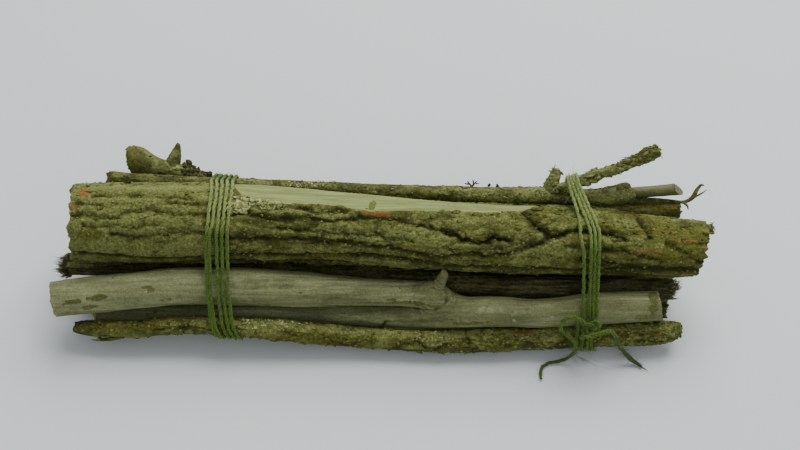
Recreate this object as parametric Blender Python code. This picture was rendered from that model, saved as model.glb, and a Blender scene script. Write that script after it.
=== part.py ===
"""A bundle of twigs: eleven cut sticks lying side by side, tied together by two windings of green twine.

Run it with: blender --background --python part.py
Routes and radii are in millimetres, and the mesh is made in metres. +X runs along the bundle, -Y is its front
and +Z is up. The origin is the middle of the bundle's footprint, on the surface that it lies on.
"""

import math

import bmesh
import bpy
import numpy as np
from mathutils import Vector, noise

MM = 0.001
CLEARANCE = 0.3
BUNDLE_MIDDLE = (-0.59, 9.23)

TWINE_DIAMETER = 1.6
TWINE_PITCH = 1.8
LIMB_CLEAR_FROM = 64.3
LONG_SPAN = 3.0
WIDEST_TURN = math.radians(27)

BARK = ("bark", (0.16, 0.17, 0.06), 0.95)
SMOOTH_BARK = ("smooth_bark", (0.24, 0.26, 0.14), 0.7)
DARK_BARK = ("dark_bark", (0.07, 0.07, 0.03), 0.95)
TWINE = ("twine", (0.16, 0.27, 0.04), 0.9)

# The middle line of each stick, as a few points (x, y, z, radius), from its left end to its right end.
THICK_LOG = [
    (-103.0, 11.4, 29.7, 13.6),
    (-78.0, 11.4, 29.7, 13.9),
    (-53.5, 10.9, 30.0, 13.8),
    (-27.5, 10.0, 29.9, 12.9),
    (6.0, 6.9, 29.9, 12.0),
    (22.5, 5.2, 29.8, 12.1),
    (39.0, 4.5, 29.3, 11.9),
    (58.5, 3.9, 29.4, 11.9),
    (72.0, 3.7, 29.1, 11.6),
    (88.5, 2.4, 28.0, 10.7),
    (104.5, 1.9, 27.5, 9.8),
]
SMOOTH_BRANCH = [
    (-97.5, -9.6, 5.2, 3.8),
    (-78.0, -9.6, 5.7, 3.9),
    (-54.0, -9.0, 6.4, 4.1),
    (-28.0, -9.0, 6.8, 4.1),
    (-11.0, -10.4, 7.6, 4.0),
    (0.0, -11.3, 8.5, 4.1),
    (9.0, -12.1, 9.4, 4.3),
    (19.0, -13.1, 11.6, 4.8),
    (29.0, -13.8, 13.8, 5.1),
    (39.0, -14.2, 14.6, 5.1),
    (49.0, -14.6, 14.4, 4.9),
    (58.5, -14.4, 14.8, 5.0),
    (72.0, -13.5, 15.4, 5.4),
    (91.5, -12.9, 16.0, 5.1),
]
SMOOTH_LIMB = [
    (-109.0, -10.5, 16.6, 6.0),
    (-100.0, -9.7, 17.3, 6.2),
    (-80.0, -8.2, 18.5, 6.3),
    (-67.0, -6.9, 19.0, 6.4),
    (-47.5, -6.8, 18.6, 6.4),
    (-27.5, -7.5, 18.0, 6.1),
    (-14.0, -8.0, 17.7, 5.3),
    (-3.0, -8.4, 17.5, 4.7),
    (9.0, -8.9, 17.4, 4.5),
    (17.0, -9.7, 17.1, 4.3),
    (22.0, -11.2, 15.6, 3.9),
    (27.0, -13.2, 14.2, 3.0),
]
FRONT_STICK = [
    (-102.5, -16.4, 9.0, 2.0),
    (-98.5, -16.6, 8.8, 2.8),
    (-80.5, -17.1, 9.1, 3.1),
    (-67.0, -16.6, 10.2, 3.1),
    (-47.5, -17.0, 9.8, 3.3),
    (-34.0, -17.5, 8.8, 3.8),
    (-14.0, -18.5, 6.7, 3.5),
    (6.0, -19.4, 5.4, 3.5),
    (19.0, -19.9, 5.2, 3.8),
    (32.5, -19.5, 5.3, 4.0),
    (52.5, -18.9, 5.7, 3.8),
    (72.5, -18.2, 6.5, 3.8),
    (89.0, -17.5, 6.9, 4.1),
    (100.0, -16.7, 7.5, 3.4),
]
TOP_TWIG = [
    (-93.5, 28.9, 32.7, 2.4),
    (-79.5, 28.5, 31.7, 2.4),
    (-55.0, 27.7, 30.9, 2.4),
    (-28.0, 26.2, 30.8, 2.6),
    (6.0, 22.2, 32.8, 2.8),
    (22.5, 20.3, 34.4, 2.8),
    (39.0, 18.6, 35.6, 2.8),
    (54.0, 17.7, 36.4, 2.9),
    (69.0, 17.2, 36.0, 2.9),
    (77.5, 17.4, 36.6, 3.6),
    (81.5, 18.2, 37.2, 3.2),
]
TOP_LIMB = [
    (55.0, 18.0, 36.9, 1.9),
    (57.5, 17.7, 38.8, 2.2),
    (60.5, 17.2, 41.6, 2.1),
    (64.0, 17.2, 43.3, 2.1),
    (69.5, 18.4, 45.2, 2.1),
    (78.5, 20.5, 47.4, 2.2),
    (90.0, 23.7, 51.8, 2.5),
]
THIN_TWIG = [
    (46.0, 23.6, 32.0, 1.5),
    (60.0, 22.8, 32.1, 1.6),
    (73.5, 22.2, 32.3, 1.7),
    (86.5, 22.0, 33.3, 1.8),
    (99.5, 22.2, 34.9, 1.7),
]
KNOBBLY_STICK = [
    (-87.3, 37.0, 33.0, 5.2),
    (-81.0, 36.2, 31.7, 4.1),
    (-75.0, 35.5, 30.4, 3.5),
    (-67.0, 33.9, 28.2, 3.1),
    (-54.5, 30.9, 25.1, 3.1),
    (-29.0, 27.0, 21.9, 3.1),
    (6.0, 22.6, 22.4, 3.2),
    (40.0, 20.6, 25.7, 3.1),
    (74.0, 19.4, 26.6, 3.1),
    (100.5, 18.5, 27.9, 2.9),
]
FRAYED_STICK = [
    (-108.0, 8.3, 11.6, 4.1),
    (-55.0, 8.1, 11.2, 4.1),
    (-11.0, 4.1, 11.9, 4.1),
    (33.0, -2.3, 13.0, 4.0),
    (70.0, -3.5, 13.0, 4.0),
    (96.0, -3.8, 13.0, 3.8),
]
INNER_STICK = [
    (-92.0, -1.9, 10.8, 2.0),
    (-50.0, -1.6, 11.2, 1.9),
    (-24.0, -2.6, 10.7, 1.8),
    (-8.0, -4.0, 10.0, 1.8),
    (10.0, -5.5, 9.2, 1.8),
    (24.0, -6.5, 8.4, 2.0),
    (36.0, -7.4, 8.0, 2.3),
    (70.0, -9.1, 7.1, 2.8),
    (95.0, -8.6, 7.7, 2.7),
]
UNDER_STICK_FRONT = [
    (-97.0, 3.6, 2.1, 3.7),
    (-83.0, 3.0, 2.1, 3.7),
    (-54.0, 1.0, 5.9, 3.6),
    (-10.0, -1.6, 4.9, 3.4),
    (16.0, -1.9, 4.6, 3.4),
    (40.0, -1.8, 5.0, 3.4),
    (70.0, -0.6, 5.6, 3.4),
    (86.0, 0.4, 1.9, 3.4),
    (98.0, 1.0, 1.9, 3.4),
]
UNDER_STICK_BACK = [
    (-99.0, 20.5, 2.8, 4.7),
    (-84.0, 19.6, 2.8, 4.8),
    (-54.0, 17.5, 7.0, 4.8),
    (-10.0, 12.6, 7.0, 4.9),
    (30.0, 10.6, 7.2, 4.9),
    (70.0, 10.5, 7.2, 4.9),
    (87.0, 11.4, 2.8, 4.8),
    (101.0, 12.5, 2.8, 4.7),
]
BACK_STICK = [
    (-101.0, 26.0, 15.0, 4.0),
    (-54.0, 22.9, 16.1, 4.0),
    (-10.0, 19.6, 14.6, 4.0),
    (30.0, 16.5, 16.0, 4.1),
    (70.0, 14.9, 16.7, 4.1),
    (93.0, 14.6, 17.2, 3.9),
]

# Short side stubs that grew out of a stick, each from a point inside it to its broken tip.
SMOOTH_SPUR = [(15.0, -10.5, 16.5, 4.6), (17.6, -10.0, 20.5, 3.4), (18.8, -9.4, 24.0, 1.9), (20.4, -8.9, 28.2, 1.4)]
SMOOTH_STUB = [(22.0, -13.4, 10.6, 3.4), (10.0, -13.2, 7.2, 3.0), (0.4, -12.8, 5.9, 2.4)]
TOP_SPUR = [(56.5, 18.4, 37.0, 2.1), (57.5, 20.4, 40.6, 1.7), (58.0, 22.4, 44.0, 1.1)]
KNOBBLY_SPUR = [(-73.5, 35.0, 29.8, 3.0), (-71.9, 38.4, 32.8, 2.3), (-70.6, 42.0, 36.2, 0.8)]
LOG_SPLINTER = [(100.0, 7.0, 31.6, 2.0), (107.0, 7.0, 31.8, 1.9), (110.4, 6.8, 32.0, 1.5)]

# Lengthwise furrows in the thick log's bark: the angle round the log, how far it wanders, and its phase.
FURROWS = [
    (-150, 7, 0.4),
    (-112, 6, 2.1),
    (-70, 8, 4.0),
    (-30, 6, 1.2),
    (8, 5, 3.1),
    (102, 5, 0.0),
    (128, 6, 1.9),
    (156, 6, 3.7),
    (184, 6, 5.2),
]
FURROW_DEPTH = 1.7
FURROW_HALF_WIDTH = math.radians(8)
STRIPPED_FROM, STRIPPED_TO = -50.0, 52.0
STRIPPED_ANGLE, STRIPPED_HALF_ANGLE = math.radians(60), math.radians(30)
STRIPPED_DEPTH = 1.2

# How far the right winding lies to the right, in mm, at some angles round the bundle, in degrees.
RIGHT_SLANT = ((50, -3.5), (115, 0.0), (180, 0.6), (215, 2.3), (300, 1.5))

# The free ends of the right winding's twine, from the knot to where they lie on the surface.
HOOKED_TAIL = [
    (65.2, -22.9, 20.6),
    (63.5, -22.6, 22.0),
    (61.0, -22.4, 22.4),
    (58.7, -22.5, 21.2),
    (57.7, -23.0, 18.8),
    (58.6, -23.7, 16.5),
    (60.8, -24.3, 14.9),
    (62.7, -24.8, 12.9),
    (63.4, -25.1, 10.2),
    (63.2, -25.1, 7.2),
    (62.2, -24.9, 4.5),
    (60.6, -24.8, 2.4),
    (58.0, -24.9, 1.2),
    (55.4, -25.4, 0.9),
    (53.3, -26.8, 0.9),
    (52.4, -29.0, 0.9),
    (52.4, -31.5, 0.9),
]
STRAIGHT_TAIL = [
    (64.6, -25.3, 15.2),
    (66.2, -25.9, 16.8),
    (68.4, -26.1, 18.0),
    (70.4, -25.7, 18.4),
    (72.2, -24.8, 18.0),
    (74.0, -23.7, 16.8),
    (75.4, -23.2, 15.0),
    (76.4, -23.2, 12.8),
    (77.2, -23.4, 10.5),
    (78.2, -23.6, 8.3),
    (79.4, -23.9, 6.3),
    (80.8, -24.3, 4.5),
    (82.4, -24.8, 2.9),
    (84.2, -25.6, 1.6),
    (86.0, -26.7, 0.9),
]


def collection(name):
    made = bpy.data.collections.new(name)
    bpy.context.scene.collection.children.link(made)
    return made


def material(name, colour, roughness):
    made = bpy.data.materials.new(name)
    made.use_nodes = True
    shader = made.node_tree.nodes["Principled BSDF"]
    shader.inputs["Base Color"].default_value = (*colour, 1.0)
    shader.inputs["Roughness"].default_value = roughness
    return made


def smooth_route(points, spacing):
    """The points of a Catmull-Rom curve through the given rows, about that far apart along it."""
    rows = np.array(points, float)
    rows = np.vstack([2 * rows[0] - rows[1], rows, 2 * rows[-1] - rows[-2]])
    fine = []
    for before, here, there, after in zip(rows, rows[1:], rows[2:], rows[3:]):
        t = np.linspace(0.0, 1.0, 24, endpoint=False)[:, None]
        bend = 2 * before - 5 * here + 4 * there - after
        twist = 3 * here - before - 3 * there + after
        fine.append(0.5 * (2 * here + (there - before) * t + bend * t**2 + twist * t**3))
    fine = np.vstack([*fine, rows[-2]])
    steps = np.linalg.norm(np.diff(fine[:, :3], axis=0), axis=1)
    along = np.concatenate([[0.0], np.cumsum(steps)])
    count = max(3, round(along[-1] / spacing) + 1)
    stops = np.linspace(0.0, along[-1], count)
    return np.stack([np.interp(stops, along, column) for column in fine.T], axis=1)


def tube(name, rows, resolution, group):
    """A curve object through rows of (x, y, z, radius), with round sides and filled ends."""
    curve = bpy.data.curves.new(name, "CURVE")
    curve.dimensions = "3D"
    curve.bevel_depth = MM
    curve.bevel_resolution = resolution
    curve.use_fill_caps = True
    spline = curve.splines.new("POLY")
    spline.points.add(len(rows) - 1)
    for point, (x, y, z, radius) in zip(spline.points, rows):
        point.co = (x * MM, y * MM, z * MM, 1.0)
        point.radius = radius
    made = bpy.data.objects.new(name, curve)
    group.objects.link(made)
    return made


def as_mesh(curve_object, group):
    """The curve object as a mesh object with welded caps."""
    bpy.context.view_layer.update()
    evaluated = curve_object.evaluated_get(bpy.context.evaluated_depsgraph_get())
    mesh = bpy.data.meshes.new_from_object(evaluated)
    welded = bmesh.new()
    welded.from_mesh(mesh)
    bmesh.ops.remove_doubles(welded, verts=welded.verts, dist=1e-6)
    welded.to_mesh(mesh)
    welded.free()
    name = curve_object.name
    made = bpy.data.objects.new(name, mesh)
    made.matrix_world = curve_object.matrix_world.copy()
    bpy.data.objects.remove(curve_object)
    made.name = name
    group.objects.link(made)
    return made


def points_of(made):
    flat = np.empty(len(made.data.vertices) * 3)
    made.data.vertices.foreach_get("co", flat)
    return flat.reshape(-1, 3) / MM


def move_points(made, points):
    made.data.vertices.foreach_set("co", (points * MM).ravel())
    made.data.update()


def carve(made, rows, relief):
    """Sinks each vertex towards the middle line by relief(x, angle, radius), which is in millimetres."""
    points = points_of(made)
    middle = rows[:, :3]
    near = np.linalg.norm(points[:, None] - middle[None], axis=2).argmin(axis=1)
    out = points - middle[near]
    radius = np.linalg.norm(out, axis=1)
    angle = np.arctan2(out[:, 2], out[:, 1])
    depth = np.array([relief(*values) for values in zip(points[:, 0], angle, radius)])
    points -= out / radius[:, None] * depth[:, None]
    move_points(made, points)


def cut_ends(made, rows, left, right):
    """Slants and roughens the two end faces. Each end is (slope up, slope forward, roughness in mm)."""
    points = points_of(made)
    middle = rows[:, :3]
    near = np.linalg.norm(points[:, None] - middle[None], axis=2).argmin(axis=1)
    for ring, (up, forward, rough) in ((0, left), (len(rows) - 1, right)):
        for index in np.flatnonzero(near == ring):
            out = points[index] - middle[ring]
            shift = up * out[2] - forward * out[1]
            shift += rough * noise.noise(Vector(points[index] * 0.45))
            points[index, 0] += shift
    move_points(made, points)


def wrapped(angle):
    """The angle brought to between minus and plus half a turn."""
    return (angle + math.pi) % math.tau - math.pi


def log_relief(x, angle, radius):
    """The furrows in the log's bark and the long strip where bark and wood are torn off."""
    depth = 0.35 * (1 + noise.noise(Vector((x * 0.06, angle * 1.3, 4.0))))
    for degrees, wander, phase in FURROWS:
        line = math.radians(degrees + wander * math.sin(x / 19 + phase) + 0.5 * wander * math.sin(x / 7.3 + phase))
        aside = wrapped(angle - line) / FURROW_HALF_WIDTH
        depth += FURROW_DEPTH * math.exp(-aside * aside)
    aside = abs(wrapped(angle - STRIPPED_ANGLE)) / STRIPPED_HALF_ANGLE
    if aside < 1 and STRIPPED_FROM < x < STRIPPED_TO:
        depth = max(depth, STRIPPED_DEPTH)
    return depth


def rough_relief(depth, grain):
    """Bark lumps up to that deep, long in the direction of the stick."""

    def relief(x, angle, radius):
        at = Vector((x * grain, math.cos(angle) * 1.6, math.sin(angle) * 1.6 + 9))
        return depth * (0.5 + 0.5 * noise.noise(at))

    return relief


def rest_on_surface(made):
    """Flattens what would reach below the surface that the bundle lies on."""
    points = points_of(made)
    points[:, 2] = np.maximum(points[:, 2], 0.0)
    move_points(made, points)


def combine(made, other, operation):
    """Joins or cuts a stick with another object, which itself isn't part of the result."""
    modifier = made.modifiers.new(other.name, "BOOLEAN")
    modifier.operation = operation
    modifier.solver = "EXACT"
    modifier.object = other


def stub(name, points, helpers):
    """A helper solid for a side stub, which a stick is joined with."""
    made = as_mesh(tube(name, smooth_route(points, 2.4), 2, helpers), helpers)
    made.hide_render = True
    made.display_type = "WIRE"
    return made


def stick(name, points, finish, group, spacing=8.0, resolution=3, relief=None, left=(0, 0, 0), right=(0, 0, 0)):
    """One stick along its route, with carved bark and cut ends."""
    rows = smooth_route(points, spacing)
    made = as_mesh(tube(name, rows, resolution, group), group)
    if relief:
        carve(made, rows, relief)
    cut_ends(made, rows, left, right)
    made.data.materials.append(finish)
    made.data.shade_smooth()
    made.data.set_sharp_from_angle(angle=math.radians(50))
    return made


def make_sticks(group, helpers):
    bark, smooth, dark = material(*BARK), material(*SMOOTH_BARK), material(*DARK_BARK)
    fine = rough_relief(0.5, 0.16)

    log = stick("thick_log", THICK_LOG, bark, group, 6.6, 11, log_relief, (0.08, 0.06, 0.9), (0.16, -0.05, 1.5))
    combine(log, stub("log_splinter", LOG_SPLINTER, helpers), "UNION")

    branch = stick("smooth_branch", SMOOTH_BRANCH, smooth, group, 7.0, 4, None, (0.2, 0.3, 0.3), (-0.1, 0.05, 0.3))
    combine(branch, stub("smooth_stub", SMOOTH_STUB, helpers), "UNION")
    limb = stick("smooth_branch_limb", SMOOTH_LIMB, smooth, group, 7.0, 4, None, (0.05, 0.1, 0.3))
    combine(limb, stub("smooth_spur", SMOOTH_SPUR, helpers), "UNION")
    fat_branch = [(x, y, z, radius + CLEARANCE) for x, y, z, radius in SMOOTH_BRANCH]
    crotch = as_mesh(tube("crotch", smooth_route(fat_branch, 7.0), 4, helpers), helpers)
    crotch.hide_render = True
    crotch.display_type = "WIRE"
    combine(limb, crotch, "DIFFERENCE")

    stick("front_stick", FRONT_STICK, bark, group, 7.2, 3, fine, (0.15, 0.0, 0.5), (0.2, -0.15, 0.8))

    twig = stick("top_twig", TOP_TWIG, bark, group, 6.4, 3, rough_relief(0.35, 0.3), (0.4, 0.2, 0.8), (0.3, 0.5, 0.4))
    combine(twig, stub("top_spur", TOP_SPUR, helpers), "UNION")
    upper = stick("top_twig_limb", TOP_LIMB, bark, group, 3.8, 3, rough_relief(0.35, 0.3), right=(0.2, 0.3, 0.8))
    fat_twig = [(x, y, z, radius + CLEARANCE) for x, y, z, radius in TOP_TWIG]
    fork = as_mesh(tube("fork", smooth_route(fat_twig, 6.4), 3, helpers), helpers)
    spur_room = [(x, y, z, radius + CLEARANCE) for x, y, z, radius in TOP_SPUR]
    for cutter in (fork, stub("spur_room", spur_room, helpers)):
        cutter.hide_render = True
        cutter.display_type = "WIRE"
        combine(upper, cutter, "DIFFERENCE")

    stick("thin_twig", THIN_TWIG, smooth, group, 8.0, 2, None, right=(-0.9, 0.0, 0.1))
    knobbly = stick("knobbly_stick", KNOBBLY_STICK, bark, group, 7.8, 3, fine, (-0.35, 0.1, 0.5), (0.1, 0.1, 0.8))
    combine(knobbly, stub("knobbly_spur", KNOBBLY_SPUR, helpers), "UNION")
    stick("frayed_stick", FRAYED_STICK, dark, group, 9.0, 3, fine, (0.1, 0.2, 5.0), (-0.2, 0.1, 5.0))
    stick("inner_stick", INNER_STICK, dark, group, 9.0, 2, None, (0.2, 0.3, 0.5), (0.1, 0.1, 2.0))
    for name, points in (("under_stick_front", UNDER_STICK_FRONT), ("under_stick_back", UNDER_STICK_BACK)):
        made = stick(name, points, bark, group, 11.0, 2, None, (0.1, 0.2, 0.6), (0.1, -0.2, 0.6))
        rest_on_surface(made)
    stick("back_stick", BACK_STICK, smooth, group, 10.0, 2, fine, (0.1, 0.2, 0.5), (0.1, 0.1, 0.5))


class Outline:
    """The tight outline of the sticks across the bundle, which a taut winding follows.

    The twine passes under the top twig's limb where that has risen clear of it.
    """

    def __init__(self, sticks):
        bpy.context.view_layer.update()
        graph = bpy.context.evaluated_depsgraph_get()
        starts, ends = [], []
        for made in sticks:
            mesh = made.evaluated_get(graph).to_mesh()
            points = np.array([vertex.co for vertex in mesh.vertices]) / MM
            edges = np.array([edge.vertices[:] for edge in mesh.edges])
            if made.name == "top_twig_limb":
                edges = edges[points[edges, 0].max(axis=1) < LIMB_CLEAR_FROM]
            starts.append(points[edges[:, 0]])
            ends.append(points[edges[:, 1]])
        self.starts, self.ends = np.vstack(starts), np.vstack(ends)

    def section(self, x):
        """The (y, z) points where the sticks' edges cross that x."""
        before, after = self.starts[:, 0] - x, self.ends[:, 0] - x
        crossing = before * after < 0
        share = (before / (before - after))[crossing][:, None]
        return (self.starts[crossing] * (1 - share) + self.ends[crossing] * share)[:, 1:]

    def reach(self, x, angle):
        """How far the twine's middle line is from the x axis, in that direction."""
        along = self.section(x) @ np.array([math.cos(angle), math.sin(angle)])
        return along.max() + TWINE_DIAMETER / 2 + CLEARANCE

    def corner(self, x, first, second):
        """Where the tangent lines in two directions meet."""
        one, two = self.reach(x, first), self.reach(x, second)
        across = math.sin(second - first)
        y = (one * math.sin(second) - two * math.sin(first)) / across
        z = (two * math.cos(first) - one * math.cos(second)) / across
        return y, z

    def middle(self, x, before, here, after):
        """The middle of the straight span in the direction here."""
        first, last = self.corner(x, before, here), self.corner(x, here, after)
        return (first[0] + last[0]) / 2, (first[1] + last[1]) / 2

    def directions(self, x):
        """The directions of the long straight spans, and between them others no more than WIDEST_TURN apart."""
        section = self.section(x)
        fine = np.linspace(0.0, math.tau, 720, endpoint=False)
        touched = section[(section @ np.stack([np.cos(fine), np.sin(fine)])).argmax(axis=0)]
        jump = np.linalg.norm(touched - np.roll(touched, 1, axis=0), axis=1)
        spans = list(fine[jump > LONG_SPAN])
        found = []
        for here, there in zip(spans, [*spans[1:], spans[0] + math.tau]):
            parts = max(1, math.ceil((there - here) / WIDEST_TURN))
            found += list(np.linspace(here, there, parts, endpoint=False))
        return found


def winding(name, outline, x_first, turns, start, lean, finish, group):
    """Turns of twine side by side, from the span nearest to the direction start, and back to that span.

    lean(turn, angle) moves the twine along x.
    """
    found = outline.directions(x_first + turns * TWINE_PITCH / 2)
    start = min(found, key=lambda angle: abs(wrapped(angle - start)))
    turned = sorted((angle - start) % math.tau for angle in found)
    turned.append(math.tau)

    def place(share, angle):
        return x_first + (turn + share) * TWINE_PITCH + lean(turn + share, angle)

    rows = []
    ends = (turned[-2] - math.tau, 0.0, turned[1])
    for turn in range(turns + 1):
        if turn in (0, turns):
            x = place(0.0, start)
            rows.append((x, *outline.middle(x, *[start + angle for angle in ends]), TWINE_DIAMETER / 2))
        if turn == turns:
            break
        for first, second in zip(turned, turned[1:]):
            angle = (first + second) / 2
            x = place(angle / math.tau, start + angle)
            y, z = outline.corner(x, start + first, start + second)
            rows.append((x, y, z, TWINE_DIAMETER / 2))
    made = as_mesh(tube(name, rows, 1, group), group)
    rest_on_surface(made)
    made.data.materials.append(finish)
    made.data.shade_smooth()
    return made


def knot(name, centre, size, turned, finish, group):
    """The body of a knot: a plain egg of its outer size, lying over the turns."""
    bpy.ops.mesh.primitive_uv_sphere_add(segments=12, ring_count=8, radius=0.5)
    made = bpy.context.object
    made.name = name
    for old in list(made.users_collection):
        old.objects.unlink(made)
    group.objects.link(made)
    made.scale = [side * MM for side in size]
    made.rotation_euler = (turned, 0.0, 0.0)
    made.location = [value * MM for value in centre]
    made.data.materials.append(finish)
    made.data.shade_smooth()
    return made


def tail(name, points, finish, group):
    rows = smooth_route(points, 3.0)
    radius = np.full((len(rows), 1), TWINE_DIAMETER / 2)
    made = as_mesh(tube(name, np.hstack([rows, radius]), 2, group), group)
    made.data.materials.append(finish)
    made.data.shade_smooth()
    return made


def left_lean(_turn, angle):
    """The left winding's turns lie further left on the front of the log than at the top and the bottom."""
    turned = angle - math.radians(133)
    return 0.7 * (1 - math.cos(turned)) + 0.7 * math.sin(turned) ** 2


def right_lean(turn, angle):
    """The right winding slants, and its first turn lies apart, because the others pass under the twig's limb."""
    slant = np.interp(math.degrees(angle), *zip(*RIGHT_SLANT), period=360)
    apart = np.interp(turn, (1.15, 1.65), (0.0, 1.0))
    return slant + apart * (1.2 + 1.2 * math.cos(angle - math.radians(50)))


def make_ties(group):
    finish = material(*TWINE)
    outline = Outline(list(group.objects))
    winding("twine_left", outline, -58.0, 5, math.radians(-12), left_lean, finish, group)
    winding("twine_right", outline, 62.7, 4, math.radians(160), right_lean, finish, group)
    knot("knot_left", (-53.0, 34.3, 17.6), (8.0, 3.4, 5.0), math.radians(-12), finish, group)
    knot("knot_right", (67.8, -22.5, 17.8), (6.4, 3.0, 4.6), math.radians(-20), finish, group)
    tail("tail_hooked", HOOKED_TAIL, finish, group)
    tail("tail_straight", STRAIGHT_TAIL, finish, group)


def main():
    for old in list(bpy.data.objects):
        bpy.data.objects.remove(old)
    helpers = collection("helpers")
    bundle = collection("bundle_of_twigs")
    make_sticks(bundle, helpers)
    make_ties(bundle)
    shift = Vector((-BUNDLE_MIDDLE[0] * MM, -BUNDLE_MIDDLE[1] * MM, 0.0))
    for made in [*bundle.objects, *helpers.objects]:
        made.location += shift


main()
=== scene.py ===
# %% [markdown]
# # A bundle of twigs, tied with green twine
#
# The real thing is eleven cut sticks, one of them a thick log, held together by two windings of jute twine.
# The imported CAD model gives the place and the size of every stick. Here each stick gets its bark, its broken
# ends, its lichen and its moss, and the twine gets its plies and its fuzz.

# %% Load the CAD model
import math

import bpy
import numpy as np
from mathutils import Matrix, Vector


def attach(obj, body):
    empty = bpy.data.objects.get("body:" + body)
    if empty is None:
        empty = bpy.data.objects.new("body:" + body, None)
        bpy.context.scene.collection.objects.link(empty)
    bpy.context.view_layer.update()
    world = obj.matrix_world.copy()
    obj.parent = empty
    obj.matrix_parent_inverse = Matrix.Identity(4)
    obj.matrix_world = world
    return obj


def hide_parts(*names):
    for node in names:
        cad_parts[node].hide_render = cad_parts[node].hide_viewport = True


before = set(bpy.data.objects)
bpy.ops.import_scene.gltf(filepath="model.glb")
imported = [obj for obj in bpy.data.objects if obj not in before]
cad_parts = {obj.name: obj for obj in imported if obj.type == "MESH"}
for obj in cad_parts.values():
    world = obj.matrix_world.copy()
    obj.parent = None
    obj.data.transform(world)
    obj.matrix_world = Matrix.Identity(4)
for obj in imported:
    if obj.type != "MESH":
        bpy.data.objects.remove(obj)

MM = 0.001
SHIFT = np.array([0.59, -9.23, 0.0])
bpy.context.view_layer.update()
print("CAD nodes:", len(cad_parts))

# %% [markdown]
# ## The camera
#
# The photo looks down on the bundle from the front, half way between level and straight down. A camera could
# be aimed with a constraint, but a direction turned into a rotation once is simpler and never moves again.

# %% Place the camera
EYE = np.array([6.42, -284.70, 370.53])
TARGET = np.array([6.42, 0.98, 30.07])

camera = bpy.data.objects.new("camera", bpy.data.cameras.new("camera"))
camera.data.lens = 60
camera.data.sensor_width = 36
camera.location = EYE * MM
camera.rotation_euler = Vector(EYE - TARGET).to_track_quat("Z", "Y").to_euler()
bpy.context.scene.collection.objects.link(camera)
bpy.context.scene.camera = camera
print("camera", round(np.linalg.norm(EYE - TARGET)), "mm from the bundle")

# %% [markdown]
# ## Floor and light
#
# The bundle lies on a pale sheet under a wide, soft light, which stands a little behind it: the shadow falls
# to the front and has no edge. One large area light does that, and a weak grey world fills the shadows.


# %% Make the floor
def new_object(name, mesh):
    made = bpy.data.objects.new(name, mesh)
    bpy.context.scene.collection.objects.link(made)
    return made


def floor_sheet(half):
    """A flat grid: the point (u, v) lies at (u, v) times the half width, just under the bundle."""
    side = np.linspace(-half, half, 9)
    u, v = np.meshgrid(side, side, indexing="ij")
    points = np.stack([u, v, np.full_like(u, -0.00002)], axis=-1).reshape(-1, 3)
    corner = (np.arange(8)[:, None] * 9 + np.arange(8)).ravel()
    faces = np.stack([corner, corner + 9, corner + 10, corner + 1], axis=1)
    mesh = bpy.data.meshes.new("floor")
    mesh.from_pydata(points, [], faces.tolist())
    return new_object("floor", mesh)


floor = floor_sheet(2.0)
paper = bpy.data.materials.new("floor")
paper.use_nodes = True
paper.node_tree.nodes["Principled BSDF"].inputs["Base Color"].default_value = (0.76, 0.78, 0.79, 1)
paper.node_tree.nodes["Principled BSDF"].inputs["Roughness"].default_value = 0.8
floor.data.materials.append(paper)
print("floor", floor.dimensions.x, "m wide")


# %% Set the lights
def soft_light(name, place, size, power, colour):
    """A square area light that looks at the bundle."""
    lamp = bpy.data.lights.new(name, "AREA")
    lamp.size = size
    lamp.energy = power
    lamp.color = colour
    made = new_object(name, lamp)
    made.location = place
    made.rotation_euler = Vector(place).to_track_quat("Z", "Y").to_euler()
    return made


soft_light("overhead", (0.22, 0.55, 0.95), 0.9, 14.6, (1.0, 0.995, 0.98))
soft_light("front_fill", (0.2, -0.9, 0.7), 0.9, 1.8, (0.95, 0.98, 1.0))

world = bpy.data.worlds.new("studio")
world.use_nodes = True
world.node_tree.nodes["Background"].inputs["Color"].default_value = (0.93, 0.96, 1.0, 1)
world.node_tree.nodes["Background"].inputs["Strength"].default_value = 0.42
bpy.context.scene.world = world

# %% [markdown]
# ## Paths and surfaces
#
# A stick is a round section carried along a bent line. Blender could bevel a curve, but then the bark would
# have to be sculpted by hand. Here the surface is a grid worked out with numpy: one direction runs along the
# stick and the other runs round it, and every wrinkle is a number that is taken off the radius.


# %% A smooth path through a few points
def smooth_route(points, spacing):
    """A Catmull-Rom curve through the rows, then evenly spaced: each span is a cubic set by its neighbours."""
    rows = np.array(points, float)
    rows = np.vstack([2 * rows[0] - rows[1], rows, 2 * rows[-1] - rows[-2]])
    before, here, there, after = rows[:-3], rows[1:-2], rows[2:-1], rows[3:]
    t = np.linspace(0.0, 1.0, 24, endpoint=False)[None, :, None]
    before, here, there, after = (part[:, None] for part in (before, here, there, after))
    bend = 2 * before - 5 * here + 4 * there - after
    twist = 3 * here - before - 3 * there + after
    fine = 0.5 * (2 * here + (there - before) * t + bend * t**2 + twist * t**3)
    fine = np.vstack([fine.reshape(-1, rows.shape[1]), rows[-2]])
    return even(fine, spacing)


def even(line, spacing):
    """The same line with its points about that far apart."""
    steps = np.linalg.norm(np.diff(line[:, :3], axis=0), axis=1)
    along = np.concatenate([[0.0], np.cumsum(steps)])
    stops = np.linspace(0.0, along[-1], max(3, round(along[-1] / spacing) + 1))
    return np.stack([np.interp(stops, along, column) for column in line.T], axis=1)


def unit(vectors):
    return vectors / np.linalg.norm(vectors, axis=-1, keepdims=True)


def frames(middle, reference):
    """At each point of a path: its direction, a side at right angles to it, and the third direction."""
    along = unit(np.gradient(middle, axis=0))
    side = unit(reference - (along @ reference)[:, None] * along)
    return along, side, np.cross(along, side)


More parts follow.
